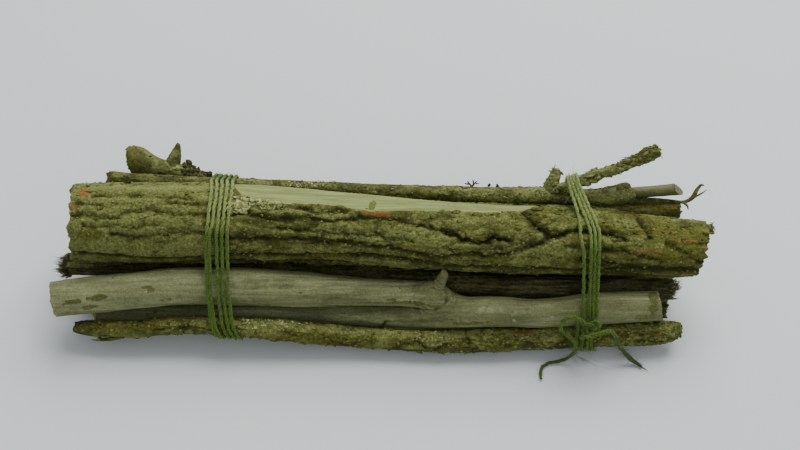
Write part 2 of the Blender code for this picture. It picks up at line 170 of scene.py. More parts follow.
# %% Faces of a closed tube
def tube_faces(rings, around):
    """Quads between neighbouring rings, and a fan of triangles from each end ring to its pole."""
    here = np.arange(around)
    there = (here + 1) % around
    start = np.arange(rings - 1)[:, None] * around
    quads = np.stack([start + here, start + there, start + around + there, start + around + here], -1)
    first, last = rings * around, rings * around + 1
    end = (rings - 1) * around
    left = np.stack([np.full(around, first), there, here], -1)
    right = np.stack([np.full(around, last), end + here, end + there], -1)
    return quads.reshape(-1, 4), np.vstack([left, right])


# Masks carried by every point. The first paints shade: it darkens cracks, creases and gaps, and the twine's free ends
# low near the floor.
FIELDS = ("painted_shade", "bare", "moss", "lichen", "rust", "cut", "raised")


def close_tube(rings, fields):
    """Turns rings of points and their mask values into one closed surface with a pole at each end."""
    count, around = rings.shape[:2]
    poles = np.stack([rings[0].mean(axis=0), rings[-1].mean(axis=0)])
    points = np.vstack([rings.reshape(-1, 3), poles])
    values = np.vstack([fields.reshape(-1, len(FIELDS)), fields[0, :1], fields[-1, :1]])
    quads, fans = tube_faces(count, around)
    return points, [quads, fans], values


# %% From arrays to an object
def make_piece(name, surfaces, finish, slot, *nodes):
    """Puts one or more surfaces, given in part.py's millimetres, into one mesh that stands for CAD nodes."""
    points, faces, values, start = [], [], [], 0
    for where, groups, fields in surfaces:
        points.append((where + SHIFT) * MM)
        faces += [face for group in groups for face in (group + start).tolist()]
        values.append(fields)
        start += len(where)
    mesh = bpy.data.meshes.new(name)
    mesh.from_pydata(np.vstack(points), [], faces)
    mesh.shade_smooth()
    for column, field in enumerate(FIELDS):
        layer = mesh.attributes.new(field, "FLOAT", "POINT")
        layer.data.foreach_set("value", np.vstack(values)[:, column].astype(np.float32))
    mesh.materials.append(finish)
    made = new_object(name, mesh)
    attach(made, "root")
    if nodes:
        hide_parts(*nodes)
    print(f"{name}: {start} points, {sum(len(face) - 2 for face in faces)} triangles")
    return made


# %% [markdown]
# ## Noise for wood and bark
#
# Bark isn't regular, but it isn't random either: lumps run into each other smoothly, and plates meet at
# cracks. Two kinds of noise give both. Gradient noise gives smooth lumps. Cell noise gives each place its
# nearest of many scattered points, so plates lie round the points and cracks lie half way between them.

# %% Smooth noise and cell noise
dice = np.random.default_rng(11)
SLOPES = unit(dice.normal(size=(1024, 3)))
PLACES = dice.random((1024, 3))


def scrambled(cell, seed):
    """A whole number from 0 to 1023 for each cell of a 3-D grid."""
    mixed = cell[..., 0] * 73856093 ^ cell[..., 1] * 19349663 ^ cell[..., 2] * 83492791
    mixed = (mixed ^ (seed * 7919 + 104729)) * 1274126177 & 0xFFFFFFFF
    mixed = (mixed ^ (mixed >> 15)) * 2246822519 & 0xFFFFFFFF
    return (mixed ^ (mixed >> 13)) & 1023


def ripple(points, seed=0):
    """Smooth noise from about -1 to 1: each grid corner has a random slope, and the slopes are blended."""
    cell = np.floor(points).astype(np.int64)
    part = points - cell
    ease = part**3 * (part * (part * 6 - 15) + 10)
    total = np.zeros(points.shape[:-1])
    for corner in np.ndindex(2, 2, 2):
        slope = SLOPES[scrambled(cell + corner, seed)]
        weight = np.where(corner, ease, 1 - ease).prod(axis=-1)
        total += weight * ((part - corner) * slope).sum(axis=-1)
    return total * 1.6


def layered(points, octaves, seed=0):
    """Several ripples, each half as large and half as strong as the one before."""
    return sum(ripple(points * 2.0**k, seed + k) / 2.0**k for k in range(octaves))


def cells(points, seed=0):
    """The distances to the nearest and the second nearest of many scattered points."""
    cell = np.floor(points).astype(np.int64)
    part = points - cell
    first = np.full(points.shape[:-1], 9.0)
    second = first.copy()
    for step in np.ndindex(3, 3, 3):
        step = np.array(step) - 1
        reach = np.linalg.norm(step + PLACES[scrambled(cell + step, seed)] - part, axis=-1)
        second = np.minimum(second, np.maximum(first, reach))
        first = np.minimum(first, reach)
    return first, second


def dip(distance, width):
    """1 on a line, falling smoothly to 0 over that width."""
    return np.exp(-((distance / width) ** 2))


def step_up(value, low, high):
    """0 below low, 1 above high, and smooth between them."""
    share = np.clip((value - low) / (high - low), 0.0, 1.0)
    return share * share * (3 - 2 * share)


print("noise at three places:", ripple(np.array([[0.3, 0.2, 0.1], [5.5, 1.2, 8.8], [2.1, 9.4, 3.3]])).round(3))

# %% [markdown]
# ## Shader building blocks
#
# Bark, smooth bark and twine share a few effects: fine grain along the wood, a crust of lichen grains, and a
# stain that follows a mask. Each is a node group, made once, which gives back colours and masks only.


# %% Short ways to add shader nodes
def add(tree, kind, inputs=None, **settings):
    """A new node, with its settings and its inputs: an input is a value, or a socket to link from."""
    node = tree.nodes.new(kind)
    for setting, value in settings.items():
        setattr(node, setting, value)
    for key, value in (inputs or {}).items():
        if isinstance(value, bpy.types.NodeSocket):
            tree.links.new(value, node.inputs[key])
        else:
            node.inputs[key].default_value = value
    return node


def blend_colours(tree, share, under, over, how="MIX"):
    """Mixes two colours; a plain colour is given as red, green and blue."""
    under, over = (c if isinstance(c, bpy.types.NodeSocket) else (*c, 1.0) for c in (under, over))
    node = add(tree, "ShaderNodeMix", {0: share, 6: under, 7: over}, data_type="RGBA", blend_type=how)
    return node.outputs[2]


def sums(tree, operation, first, second=0.0):
    return add(tree, "ShaderNodeMath", {0: first, 1: second}, operation=operation).outputs[0]


def rise(tree, value, low, high):
    """0 below low and 1 above high."""
    node = add(tree, "ShaderNodeMapRange", {"Value": value, "From Min": low, "From Max": high})
    node.interpolation_type = "SMOOTHSTEP"
    return node.outputs["Result"]


def mottle(tree, where, scale, detail=3.0, roughness=0.6, distortion=0.0):
    inputs = {"Vector": where, "Scale": scale, "Detail": detail, "Roughness": roughness, "Distortion": distortion}
    return add(tree, "ShaderNodeTexNoise", inputs).outputs["Fac"]


def new_group(name, inputs, outputs):
    """An empty node group with named inputs, as (name, kind, default), and named outputs, as (name, kind)."""
    group = bpy.data.node_groups.new(name, "ShaderNodeTree")
    for title, kind, value in inputs:
        socket = group.interface.new_socket(title, in_out="INPUT", socket_type=kind)
        if value is not None:
            socket.default_value = value
    for title, kind in outputs:
        group.interface.new_socket(title, in_out="OUTPUT", socket_type=kind)
    return group, group.nodes.new("NodeGroupInput").outputs, group.nodes.new("NodeGroupOutput").inputs


# %% The shared effects
def grain_group():
    """Long fine streaks: noise on coordinates that are squeezed along X, where the sticks lie."""
    group, given, result = new_group(
        "wood grain",
        [("Vector", "NodeSocketVector", None), ("Fineness", "NodeSocketFloat", 1.0)],
        [("Streaks", "NodeSocketFloat"), ("Height", "NodeSocketFloat")],
    )
    squeezed = add(group, "ShaderNodeMapping", {"Vector": given["Vector"], "Scale": (60, 900, 900)}).outputs[0]
    scale = sums(group, "MULTIPLY", given["Fineness"], 1.0)
    streaks = mottle(group, squeezed, scale, 4.0, 0.65, 0.2)
    group.links.new(streaks, result["Streaks"])
    group.links.new(rise(group, streaks, 0.3, 0.7), result["Height"])
    return group


def crust_group():
    """Lichen grains: small round cells, kept only where a patchy noise plus the amount is high enough."""
    group, given, result = new_group(
        "lichen crust",
        [
            ("Vector", "NodeSocketVector", None),
            ("Scale", "NodeSocketFloat", 900.0),
            ("Amount", "NodeSocketFloat", 0.5),
        ],
        [("Mask", "NodeSocketFloat"), ("Height", "NodeSocketFloat")],
    )
    patches = mottle(group, given["Vector"], 210.0, 5.0, 0.7)
    present = rise(group, sums(group, "ADD", patches, given["Amount"]), 0.82, 1.18)
    grains = add(group, "ShaderNodeTexVoronoi", {"Vector": given["Vector"], "Scale": given["Scale"]})
    grains.feature = "SMOOTH_F1"
    round_grain = rise(group, grains.outputs["Distance"], 0.75, 0.15)
    group.links.new(sums(group, "MULTIPLY", present, rise(group, round_grain, -0.35, 0.55)), result["Mask"])
    group.links.new(sums(group, "MULTIPLY", present, round_grain), result["Height"])
    return group


def stain_group():
    """A stain over a colour: where the mask, broken up by noise, is high, the stain's two tones show."""
    group, given, result = new_group(
        "stain",
        [
            ("Vector", "NodeSocketVector", None),
            ("Colour", "NodeSocketColor", None),
            ("Mask", "NodeSocketFloat", 0.0),
            ("Tone", "NodeSocketColor", None),
            ("Second Tone", "NodeSocketColor", None),
            ("Scale", "NodeSocketFloat", 500.0),
        ],
        [("Colour", "NodeSocketColor"), ("Mask", "NodeSocketFloat")],
    )
    broken = mottle(group, given["Vector"], given["Scale"], 4.0, 0.7)
    shown = rise(group, sums(group, "ADD", broken, given["Mask"]), 0.85, 1.15)
    tones = mottle(group, given["Vector"], sums(group, "MULTIPLY", given["Scale"], 2.3), 2.0)
    tone = blend_colours(group, rise(group, tones, 0.35, 0.65), given["Tone"], given["Second Tone"])
    group.links.new(blend_colours(group, shown, given["Colour"], tone), result["Colour"])
    group.links.new(shown, result["Mask"])
    return group


GRAIN, CRUST, STAIN = grain_group(), crust_group(), stain_group()
print("node groups:", [group.name for group in bpy.data.node_groups])


# %% Using a group in a material
def use(tree, group, **inputs):
    node = add(tree, "ShaderNodeGroup", node_tree=group)
    for key, value in inputs.items():
        key = key.replace("_", " ")
        if isinstance(value, bpy.types.NodeSocket):
            tree.links.new(value, node.inputs[key])
        else:
            node.inputs[key].default_value = value
    return node.outputs


def mask(tree, name):
    """One of the masks that were worked out with the shape."""
    return add(tree, "ShaderNodeAttribute", attribute_name=name).outputs["Fac"]


def new_material(name, roughness):
    """A material with its tree, its shader, and the object's own coordinates."""
    made = bpy.data.materials.new(name)
    made.use_nodes = True
    tree = made.node_tree
    shader = tree.nodes["Principled BSDF"]
    shader.inputs["Roughness"].default_value = roughness
    shader.inputs["Specular IOR Level"].default_value = 0.25
    return made, tree, shader, add(tree, "ShaderNodeTexCoord").outputs["Object"]


def bump(tree, shader, *layers):
    """Stacks bumps, each given as a height and its depth in millimetres."""
    normal = None
    for height, depth in layers:
        node = add(tree, "ShaderNodeBump", {"Height": height, "Distance": depth * MM, "Strength": 1.0})
        if normal:
            tree.links.new(normal, node.inputs["Normal"])
        normal = node.outputs["Normal"]
    tree.links.new(normal, shader.inputs["Normal"])


def cut_face(tree, patches, dark, light):
    """Wood across the grain: two tones, and growth rings 0.8 mm apart, as the "raised" mask holds radius / 20 mm."""
    bent = sums(tree, "ADD", sums(tree, "MULTIPLY", mask(tree, "raised"), 157.0), sums(tree, "MULTIPLY", patches, 7.0))
    rings = sums(tree, "MULTIPLY", rise(tree, sums(tree, "SINE", bent), 0.1, 1.0), 0.45)
    return blend_colours(tree, rings, blend_colours(tree, patches, dark, light), dark)


# %% [markdown]
# ## Rough bark
#
# The log and most sticks have old bark, green with algae, with grains of grey lichen, yellow moss in the
# damp places, and a few orange stains. The cracks are painted nearly black with shade. The masks made with each
# shape say where these lie, and noise breaks up their edges, so one material function serves all the rough sticks.


# %% The bark material
def bark_material(name, shade, light, lichen, amount, moss=0.0):
    """Rough bark: two tones of bark, lichen grains on what stands up, moss in the dips, and stains."""
    made, tree, shader, where = new_material(name, 0.92)
    patches = mottle(tree, where, 130.0, 6.0, 0.7, 0.4)
    stands = sums(tree, "MULTIPLY", sums(tree, "SUBTRACT", mask(tree, "raised"), 0.5), 0.3)
    colour = blend_colours(tree, rise(tree, sums(tree, "ADD", patches, stands), 0.3, 0.7), shade, light)
    grain = use(tree, GRAIN, Vector=where, Fineness=0.8)
    colour = blend_colours(tree, sums(tree, "MULTIPLY", grain["Streaks"], 0.5), colour, shade)
    grown = sums(tree, "ADD", sums(tree, "MULTIPLY", mask(tree, "lichen"), 0.4), sums(tree, "ADD", stands, amount))
    crust = use(tree, CRUST, Vector=where, Scale=1300.0, Amount=grown)
    pale = blend_colours(tree, rise(tree, mottle(tree, where, 420.0, 3.0), 0.35, 0.65), lichen, (0.25, 0.275, 0.09))
    colour = blend_colours(tree, sums(tree, "MULTIPLY", crust["Mask"], 0.68), colour, pale)
    specks = rise(tree, mottle(tree, where, 1500.0, 3.0, 0.7), 0.3, 0.7)
    tint = blend_colours(tree, specks, (0.64, 0.64, 0.56), (1.38, 1.38, 1.3))
    colour = blend_colours(tree, 1.0, colour, tint, "MULTIPLY")
    mossy = sums(tree, "ADD", sums(tree, "MULTIPLY", mask(tree, "moss"), 0.7), moss)
    mossy = sums(tree, "SUBTRACT", mossy, sums(tree, "MULTIPLY", stands, 0.6))
    colour = use(
        tree, STAIN, Vector=where, Colour=colour, Mask=mossy, Scale=480.0,
        Tone=(0.08, 0.084, 0.012, 1), Second_Tone=(0.158, 0.154, 0.026, 1),
    )["Colour"]
    colour = use(
        tree, STAIN, Vector=where, Colour=colour, Mask=mask(tree, "rust"), Scale=650.0,
        Tone=(0.33, 0.14, 0.04, 1), Second_Tone=(0.21, 0.10, 0.025, 1),
    )["Colour"]
    wood = blend_colours(tree, rise(tree, grain["Streaks"], 0.3, 0.7), (0.19, 0.226, 0.072), (0.335, 0.375, 0.145))
    wood = blend_colours(tree, sums(tree, "MULTIPLY", rise(tree, patches, 0.5, 0.75), 0.5), wood, (0.19, 0.215, 0.065))
    bare = rise(tree, mask(tree, "bare"), 0.25, 0.75)
    colour = blend_colours(tree, bare, colour, wood)
    smudge = sums(tree, "MULTIPLY", sums(tree, "MULTIPLY", mask(tree, "moss"), bare), 0.85)
    colour = use(
        tree, STAIN, Vector=where, Colour=colour, Mask=smudge, Scale=900.0,
        Tone=(0.10, 0.12, 0.02, 1), Second_Tone=(0.16, 0.185, 0.045, 1),
    )["Colour"]
    ends = cut_face(tree, patches, (0.09, 0.08, 0.028), (0.23, 0.205, 0.09))
    colour = blend_colours(tree, rise(tree, mask(tree, "cut"), 0.3, 0.8), colour, ends)
    # Painted shade: the cracks and hollows are darkened.
    dark = blend_colours(tree, mask(tree, "painted_shade"), (1, 1, 1), (0.30, 0.30, 0.16))
    colour = blend_colours(tree, 1.0, colour, dark, "MULTIPLY")
    tree.links.new(colour, shader.inputs["Base Color"])
    covered = sums(tree, "SUBTRACT", 1.0, bare)
    bump(
        tree, shader,
        (sums(tree, "MULTIPLY", mottle(tree, where, 1000.0, 5.0, 0.7), covered), 0.45),
        (sums(tree, "MULTIPLY", crust["Height"], covered), 0.17),
        (grain["Height"], 0.08),
    )
    return made


LOG_BARK = bark_material("log bark", (0.050, 0.053, 0.009), (0.124, 0.130, 0.027), (0.212, 0.245, 0.077), 0.35)
FRONT_BARK = bark_material("mossy bark", (0.053, 0.057, 0.011), (0.144, 0.152, 0.034), (0.28, 0.32, 0.115), 0.38, 0.10)
TWIG_BARK = bark_material("twig bark", (0.075, 0.08, 0.022), (0.15, 0.16, 0.05), (0.25, 0.28, 0.11), 0.38)
DARK_BARK = bark_material("dark bark", (0.055, 0.053, 0.02), (0.145, 0.142, 0.06), (0.22, 0.23, 0.10), 0.28)
print("bark materials:", [material.name for material in bpy.data.materials])

# %% [markdown]
# ## Smooth bark
#
# The branch in front of the log has thin, smooth bark: olive grey, with fine lines along it, paler worn
# places, small green specks, and moss at its cut rims. It is a little glossy, so the light from behind draws
# a soft highlight along its top.


# %% The smooth bark material
def smooth_material(name, shade, light, worn):
    """Smooth bark: streaks along the wood, worn pale places, specks of algae, and a soft gloss."""
    made, tree, shader, where = new_material(name, 0.62)
    grain = use(tree, GRAIN, Vector=where, Fineness=1.3)
    broad = use(tree, GRAIN, Vector=where, Fineness=0.35)
    patches = mottle(tree, where, 45.0, 5.0, 0.6, 0.3)
    colour = blend_colours(tree, rise(tree, patches, 0.3, 0.7), shade, light)
    colour = blend_colours(tree, sums(tree, "MULTIPLY", rise(tree, broad["Streaks"], 0.42, 0.7), 0.6), colour, worn)
    colour = blend_colours(tree, sums(tree, "MULTIPLY", mask(tree, "bare"), 0.36), colour, worn)
    lines = sums(tree, "MULTIPLY", rise(tree, grain["Streaks"], 0.58, 0.38), 0.4)
    colour = blend_colours(tree, lines, colour, shade)
    fine = rise(tree, mottle(tree, where, 1500.0, 3.0, 0.7), 0.3, 0.7)
    tint = blend_colours(tree, fine, (0.78, 0.78, 0.72), (1.2, 1.2, 1.18))
    colour = blend_colours(tree, 1.0, colour, tint, "MULTIPLY")
    dust = sums(tree, "ADD", sums(tree, "MULTIPLY", mask(tree, "lichen"), 0.5), 0.12)
    crust = use(tree, CRUST, Vector=where, Scale=1100.0, Amount=dust)
    colour = blend_colours(tree, sums(tree, "MULTIPLY", crust["Mask"], 0.7), colour, (0.36, 0.40, 0.24))
    specks = mottle(tree, where, 260.0, 2.0, 0.5)
    algae = sums(tree, "ADD", rise(tree, specks, 0.66, 0.76), sums(tree, "MULTIPLY", mask(tree, "moss"), 0.95))
    colour = use(
        tree, STAIN, Vector=where, Colour=colour, Mask=sums(tree, "MULTIPLY", algae, 0.82), Scale=800.0,
        Tone=(0.065, 0.072, 0.014, 1), Second_Tone=(0.13, 0.135, 0.035, 1),
    )["Colour"]
    colour = use(
        tree, STAIN, Vector=where, Colour=colour, Mask=mask(tree, "rust"), Scale=650.0,
        Tone=(0.15, 0.125, 0.03, 1), Second_Tone=(0.10, 0.09, 0.02, 1),
    )["Colour"]
    ends = cut_face(tree, patches, (0.08, 0.075, 0.028), (0.21, 0.20, 0.095))
    colour = blend_colours(tree, rise(tree, mask(tree, "cut"), 0.3, 0.8), colour, ends)
    # Painted shade: the creases and collar rings are darkened.
    dark = blend_colours(tree, mask(tree, "painted_shade"), (1, 1, 1), (0.13, 0.13, 0.06))
    colour = blend_colours(tree, 1.0, colour, dark, "MULTIPLY")
    tree.links.new(colour, shader.inputs["Base Color"])
    rough = sums(tree, "ADD", sums(tree, "MULTIPLY", patches, 0.25), 0.45)
    tree.links.new(rough, shader.inputs["Roughness"])
    bump(tree, shader, (grain["Height"], 0.07), (crust["Height"], 0.15), (mottle(tree, where, 500.0, 3.0), 0.12))
    return made


SMOOTH_BARK = smooth_material("smooth bark", (0.092, 0.10, 0.035), (0.184, 0.197, 0.082), (0.35, 0.375, 0.195))
THIN_BARK = smooth_material("thin twig bark", (0.08, 0.086, 0.03), (0.15, 0.16, 0.06), (0.22, 0.24, 0.11))
print("smooth bark materials made")

# %% [markdown]
# ## One stick
#
# Every stick is made the same way. Its route and thickness come from the CAD source. A bark function takes
# the smooth tube's points and gives back how deep each one is sunk, and the masks for the material. At each
# end the tube is pushed along its length to break the cut, and rings that shrink to a pole close it.


# %% The stick surface
CAP_RINGS = (0.97, 0.86, 0.68, 0.46, 0.22)


def stick_surface(route, spacing, around, bark, left, right, reference=(0.0, 1.0, 0.0), mould=None):
    """Point (s, a) = middle(s) + (radius(s) - depth(s, a)) * (side * cos a + up * sin a), with broken ends.

    Each end is (slope up, slope forward, roughness in mm, how far in it reaches in mm, and how much it domes).
    """
    rows = smooth_route(route, spacing)
    middle, radius = rows[:, :3], rows[:, 3][:, None]
    along, side, up = frames(middle, np.array(reference))
    angle = np.linspace(0.0, math.tau, around, endpoint=False)
    out = side[:, None] * np.cos(angle)[:, None] + up[:, None] * np.sin(angle)[:, None]
    points = middle[:, None] + radius[..., None] * out
    if mould:
        points = mould(points)
    degrees = np.broadcast_to((np.degrees(angle) + 90) % 360 - 90, points.shape[:2])
    depth, masks = bark(points, degrees, radius)
    points -= depth[..., None] * out
    masks["raised"] = np.clip(0.5 + (np.median(depth) - depth) / (2.5 * depth.std() + 0.01), 0.0, 1.0)
    fields = np.stack([np.broadcast_to(masks.get(name, 0.0), depth.shape) for name in FIELDS], axis=-1)
    travelled = np.arange(len(rows)) * spacing
    rings, values = [points], [fields]
    for end, finish, way in ((0, left, -1), (-1, right, 1)):
        slope, forward, rough, reach, dome = (*finish, 0.0)[:5]
        gone = travelled if end == 0 else travelled[-1] - travelled
        tilt = slope * radius[end] * np.sin(angle) - forward * radius[end] * np.cos(angle)
        shift = tilt + rough * layered(points[end] * 0.45, 3, 40 + way)
        points += (dip(gone, reach)[:, None] * shift)[..., None] * along[end]
        centre = points[end].mean(axis=0)
        shares = np.array(CAP_RINGS)[:, None, None]
        plain = (radius[end] - depth[end].mean()) * out[end] + tilt[:, None] * along[end]
        caps = centre + plain * shares + (points[end] - centre - plain) * shares**3
        caps += dome * (1 - shares**2) * way * along[end]
        caps += layered(caps * 0.7, 2, 50 + way)[..., None] * rough * 0.45 * (1 - shares) * along[end]
        marks = np.repeat(fields[end][None], len(CAP_RINGS), axis=0).copy()
        marks[..., FIELDS.index("cut")] = 1.0
        marks[..., FIELDS.index("bare")] = 0.0
        marks[..., FIELDS.index("raised")] = shares[..., 0] * radius[end] / 20
        # The cut faces get half of the painted shade.
        marks[..., FIELDS.index("painted_shade")] *= 0.5
        if end == 0:
            rings.insert(0, caps[::-1])
            values.insert(0, marks[::-1])
        else:
            rings.append(caps)
            values.append(marks)
    rings = np.vstack(rings)
    rings[..., 2] = np.maximum(rings[..., 2], 0.0)
    return close_tube(rings, np.vstack(values))


def spots(points, degrees, table, seed=3):
    """A mask of ragged ovals, each (x, degrees, half length in mm, half width in degrees, strength)."""
    ragged = 0.45 * layered(points / 2.4, 3, seed)
    total = np.zeros(degrees.shape)
    for x, centre, length, width, strength in table:
        apart = np.hypot((points[..., 0] - x) / length, (degrees - centre) / width)
        total = np.maximum(total, strength * step_up(1.25 + ragged - apart, 0.0, 0.6))
    return total


# %% [markdown]
# ## The thick log
#
# The log is the piece that everyone sees first: long wavy cracks in old bark, plates between them, a strip on
# top where bark is torn off down to pale wood, and a splinter at its right end. The cracks that show from the
# front are drawn as lines on the unrolled bark. Those at the back follow the furrows of the CAD source.

# %% Cracks drawn on the unrolled bark
LOG_ROUTE = [
    (-103.0, 11.4, 29.7, 13.6), (-78.0, 11.4, 29.7, 13.9), (-53.5, 10.9, 30.0, 13.8), (-27.5, 10.0, 29.9, 12.9),
    (6.0, 6.9, 29.9, 12.0), (22.5, 5.2, 29.8, 12.1), (39.0, 4.5, 29.3, 11.9), (58.5, 3.9, 29.4, 11.9),
    (72.0, 3.7, 29.1, 11.6), (88.5, 2.4, 28.0, 10.7), (104.5, 1.9, 27.5, 9.8),
]
# Each crack: how deep in mm, how wide in mm, and its line as (x in mm, degrees round the log).
LOG_CRACKS = [
    (0.8, 0.7, [(-94, 97), (-87, 98), (-80, 98), (-75, 102), (-68, 101), (-62, 104)]),
    (1.1, 0.7, [(-102, 130), (-94, 132), (-87, 138), (-80, 126), (-75, 124), (-68, 133), (-62, 130), (-57, 132),
                (-49, 126), (-44, 124), (-36, 128), (-29, 122), (-24, 118), (-20, 122), (-15, 117), (-6, 107),
                (3, 103), (8, 108), (15, 111), (20, 120)]),
    (2.1, 0.8, [(19, 118), (22, 121), (25, 127), (30, 132), (34, 128), (36, 121), (40, 124)]),
    (1.2, 0.8, [(-88, 161), (-82, 166), (-76, 167), (-68, 160), (-58, 160), (-49, 166), (-44, 167), (-37, 162),
                (-28, 156), (-16, 154), (-7, 150), (3, 152), (13, 157), (19, 160), (28, 150), (34, 154), (42, 143),
                (48, 134), (52, 127)]),
    (2.2, 1.0, [(46, 68), (47, 76), (49, 86), (51, 100), (53, 114), (53, 121)]),
    (1.9, 0.8, [(53, 121), (56, 117), (60, 109), (63, 104), (71, 107), (78, 110)]),
    (1.5, 0.9, [(83, 52), (84, 66), (86, 83), (87, 97)]),
    (1.3, 1.0, [(64, 156), (71, 158), (80, 156), (90, 150), (99, 142), (105, 143)]),
    (1.0, 0.7, [(92, 103), (97, 111), (101, 121), (105, 127)]),
    (0.9, 0.7, [(-38, 108), (-30, 104), (-22, 108), (-12, 100)]),
    (0.9, 0.7, [(22, 146), (30, 143), (38, 139)]),
    (0.9, 0.8, [(60, 132), (70, 136), (80, 129), (90, 133)]),
    (0.8, 0.6, [(-70, 112), (-63, 116), (-56, 113), (-51, 117)]),
    (0.9, 0.6, [(-34, 143), (-24, 140), (-12, 137), (0, 133), (10, 136)]),
    (0.9, 0.6, [(-100, 112), (-92, 116), (-84, 114)]),
    (0.8, 0.6, [(-97, 150), (-90, 148), (-80, 152), (-72, 147)]),
]
# Furrows that run the whole length where they aren't drawn above: degrees, how far they wander, and phase.
LOG_FURROWS = [(-150, 7, 0.4), (-112, 6, 2.1), (-70, 8, 4.0), (-30, 6, 1.2), (8, 5, 3.1), (184, 6, 5.2)]


def to_line(x, height, line):
    """The distance in mm from each unrolled place to the nearest piece of a line."""
    found = np.full(x.shape, 99.0)
    for (x0, h0), (x1, h1) in zip(line, line[1:]):
        dx, dh = x1 - x0, h1 - h0
        share = np.clip(((x - x0) * dx + (height - h0) * dh) / (dx * dx + dh * dh), 0.0, 1.0)
        found = np.minimum(found, np.hypot(x - x0 - share * dx, height - h0 - share * dh))
    return found


def drawn_cracks(points, degrees, radius, table):
    """The depth of all drawn cracks, and a mask of the painted shade in them."""
    girth = np.radians(1.0) * radius
    x = points[..., 0] + 0.9 * layered(points / 3.1, 2, 21)
    height = degrees * girth + 0.8 * layered(points / 2.3, 3, 22)
    uneven = 1.0 + 0.45 * ripple(points / 5.0, 23)
    depth, dark = np.zeros(degrees.shape), np.zeros(degrees.shape)
    for deep, wide, line in table:
        line = [(at, turn * float(np.mean(girth))) for at, turn in line]
        far = to_line(x, height, line)
        depth = np.maximum(depth, deep * uneven * (0.72 * dip(far, wide * uneven) + 0.28 * dip(far, 3 * wide)))
        dark = np.maximum(dark, min(deep / 1.5, 1.0) * dip(far, wide * uneven))
    return depth, dark


# %% [markdown]
# The strip of bare wood has a ragged lower edge, with a lip of bark along it. Its edge is a line of angles
# along the log. The bark itself is made of plates: cell noise stretched along the log, on coordinates that
# are pushed about by smooth noise so that no plate is straight.

# %% The log's bark
STRIP_EDGE = np.array([
    (-52, 40), (-49, 62), (-46, 84), (-42, 90), (-36, 94), (-30, 95), (-24, 92), (-14, 90), (-8, 94), (-4, 97),
    (4, 91), (10, 86), (19, 83), (24, 78), (30, 79), (35, 76), (40, 72), (46, 67), (52, 50),
])
STRIP_BACK = 30.0
LOG_LICHEN = [
    (-44, 99, 7, 12, 1.0), (-36, 104, 7, 8, 1.0), (-84, 108, 12, 14, 1.0), (-70, 115, 10, 10, 0.9),
    (-60, 140, 9, 10, 0.8), (-76, 136, 22, 14, 0.8), (-92, 120, 8, 12, 0.7), (-20, 108, 12, 7, 0.6),
    (7, 138, 9, 3.5, 1.0), (20, 142, 9, 3.5, 1.0), (31, 146, 6, 3, 0.8),
    (74, 124, 5, 8, 0.8), (78, 92, 7, 10, 0.6), (93, 128, 7, 7, 0.4), (20, 150, 16, 7, 0.5), (12, 128, 14, 8, 0.5),
    (100, 134, 4, 6, 0.6), (-8, 140, 22, 8, 0.45), (52, 145, 14, 9, 0.5), (-90, 158, 8, 7, 0.4),
]
LOG_MOSS = [
    (-95, 146, 5, 12, 1.0), (-16, 184, 7, 9, 1.0), (12, 150, 8, 5, 0.9), (48, 82, 8, 9, 0.7), (-74, 132, 9, 7, 0.5),
    (72, 100, 7, 12, 0.8), (93, 98, 15, 24, 0.9), (96, 138, 13, 20, 0.9), (-3.4, 82, 1.2, 10, 1.0), (-2.7, 74, 0.9, 6, 0.9),
    (-4.2, 89, 1.4, 3, 0.8), (13, 88, 1.6, 4, 0.7), (30, 168, 30, 12, 0.5), (-40, 150, 12, 8, 0.4), (66, 170, 20, 12, 0.6), (84, 66, 14, 14, 0.7),
]
LOG_RUST = [
    (-98, 80, 2.6, 8, 1.0), (-101, 108, 2.0, 5, 0.7), (-1.2, 100, 4.2, 3.4, 1.0), (84, 138, 2.2, 2.4, 0.9),
    (89, 135.5, 1.8, 2.8, 0.9), (97, 113, 5.0, 2.2, 0.8), (104, 126, 2.0, 3, 0.8), (93, 99, 4, 3, 0.55),
    (-57, 122, 3, 6, 0.45), (-15, 100, 3, 3, 0.4), (8, 150, 2.4, 3, 0.5),
]


def creases(points, size, seed, width):
    """Long wavy cracks: they lie where smooth noise, stretched along the log, passes through nought."""
    pushed = points / size + 0.4 * np.stack([ripple(points / (size * 0.8), seed + k) for k in range(3)], axis=-1)
    return dip(ripple(pushed, seed + 5), width)


def plates(points, size, seed):
    """Bark plates: how near each place is to a crack between two plates, from 0 to 1, and the plate's lump."""
    pushed = points / size + 0.5 * np.stack([ripple(points / (size * 1.4), seed + k) for k in range(3)], axis=-1)
    first, second = cells(pushed, seed)
    return dip(second - first, 0.16), first


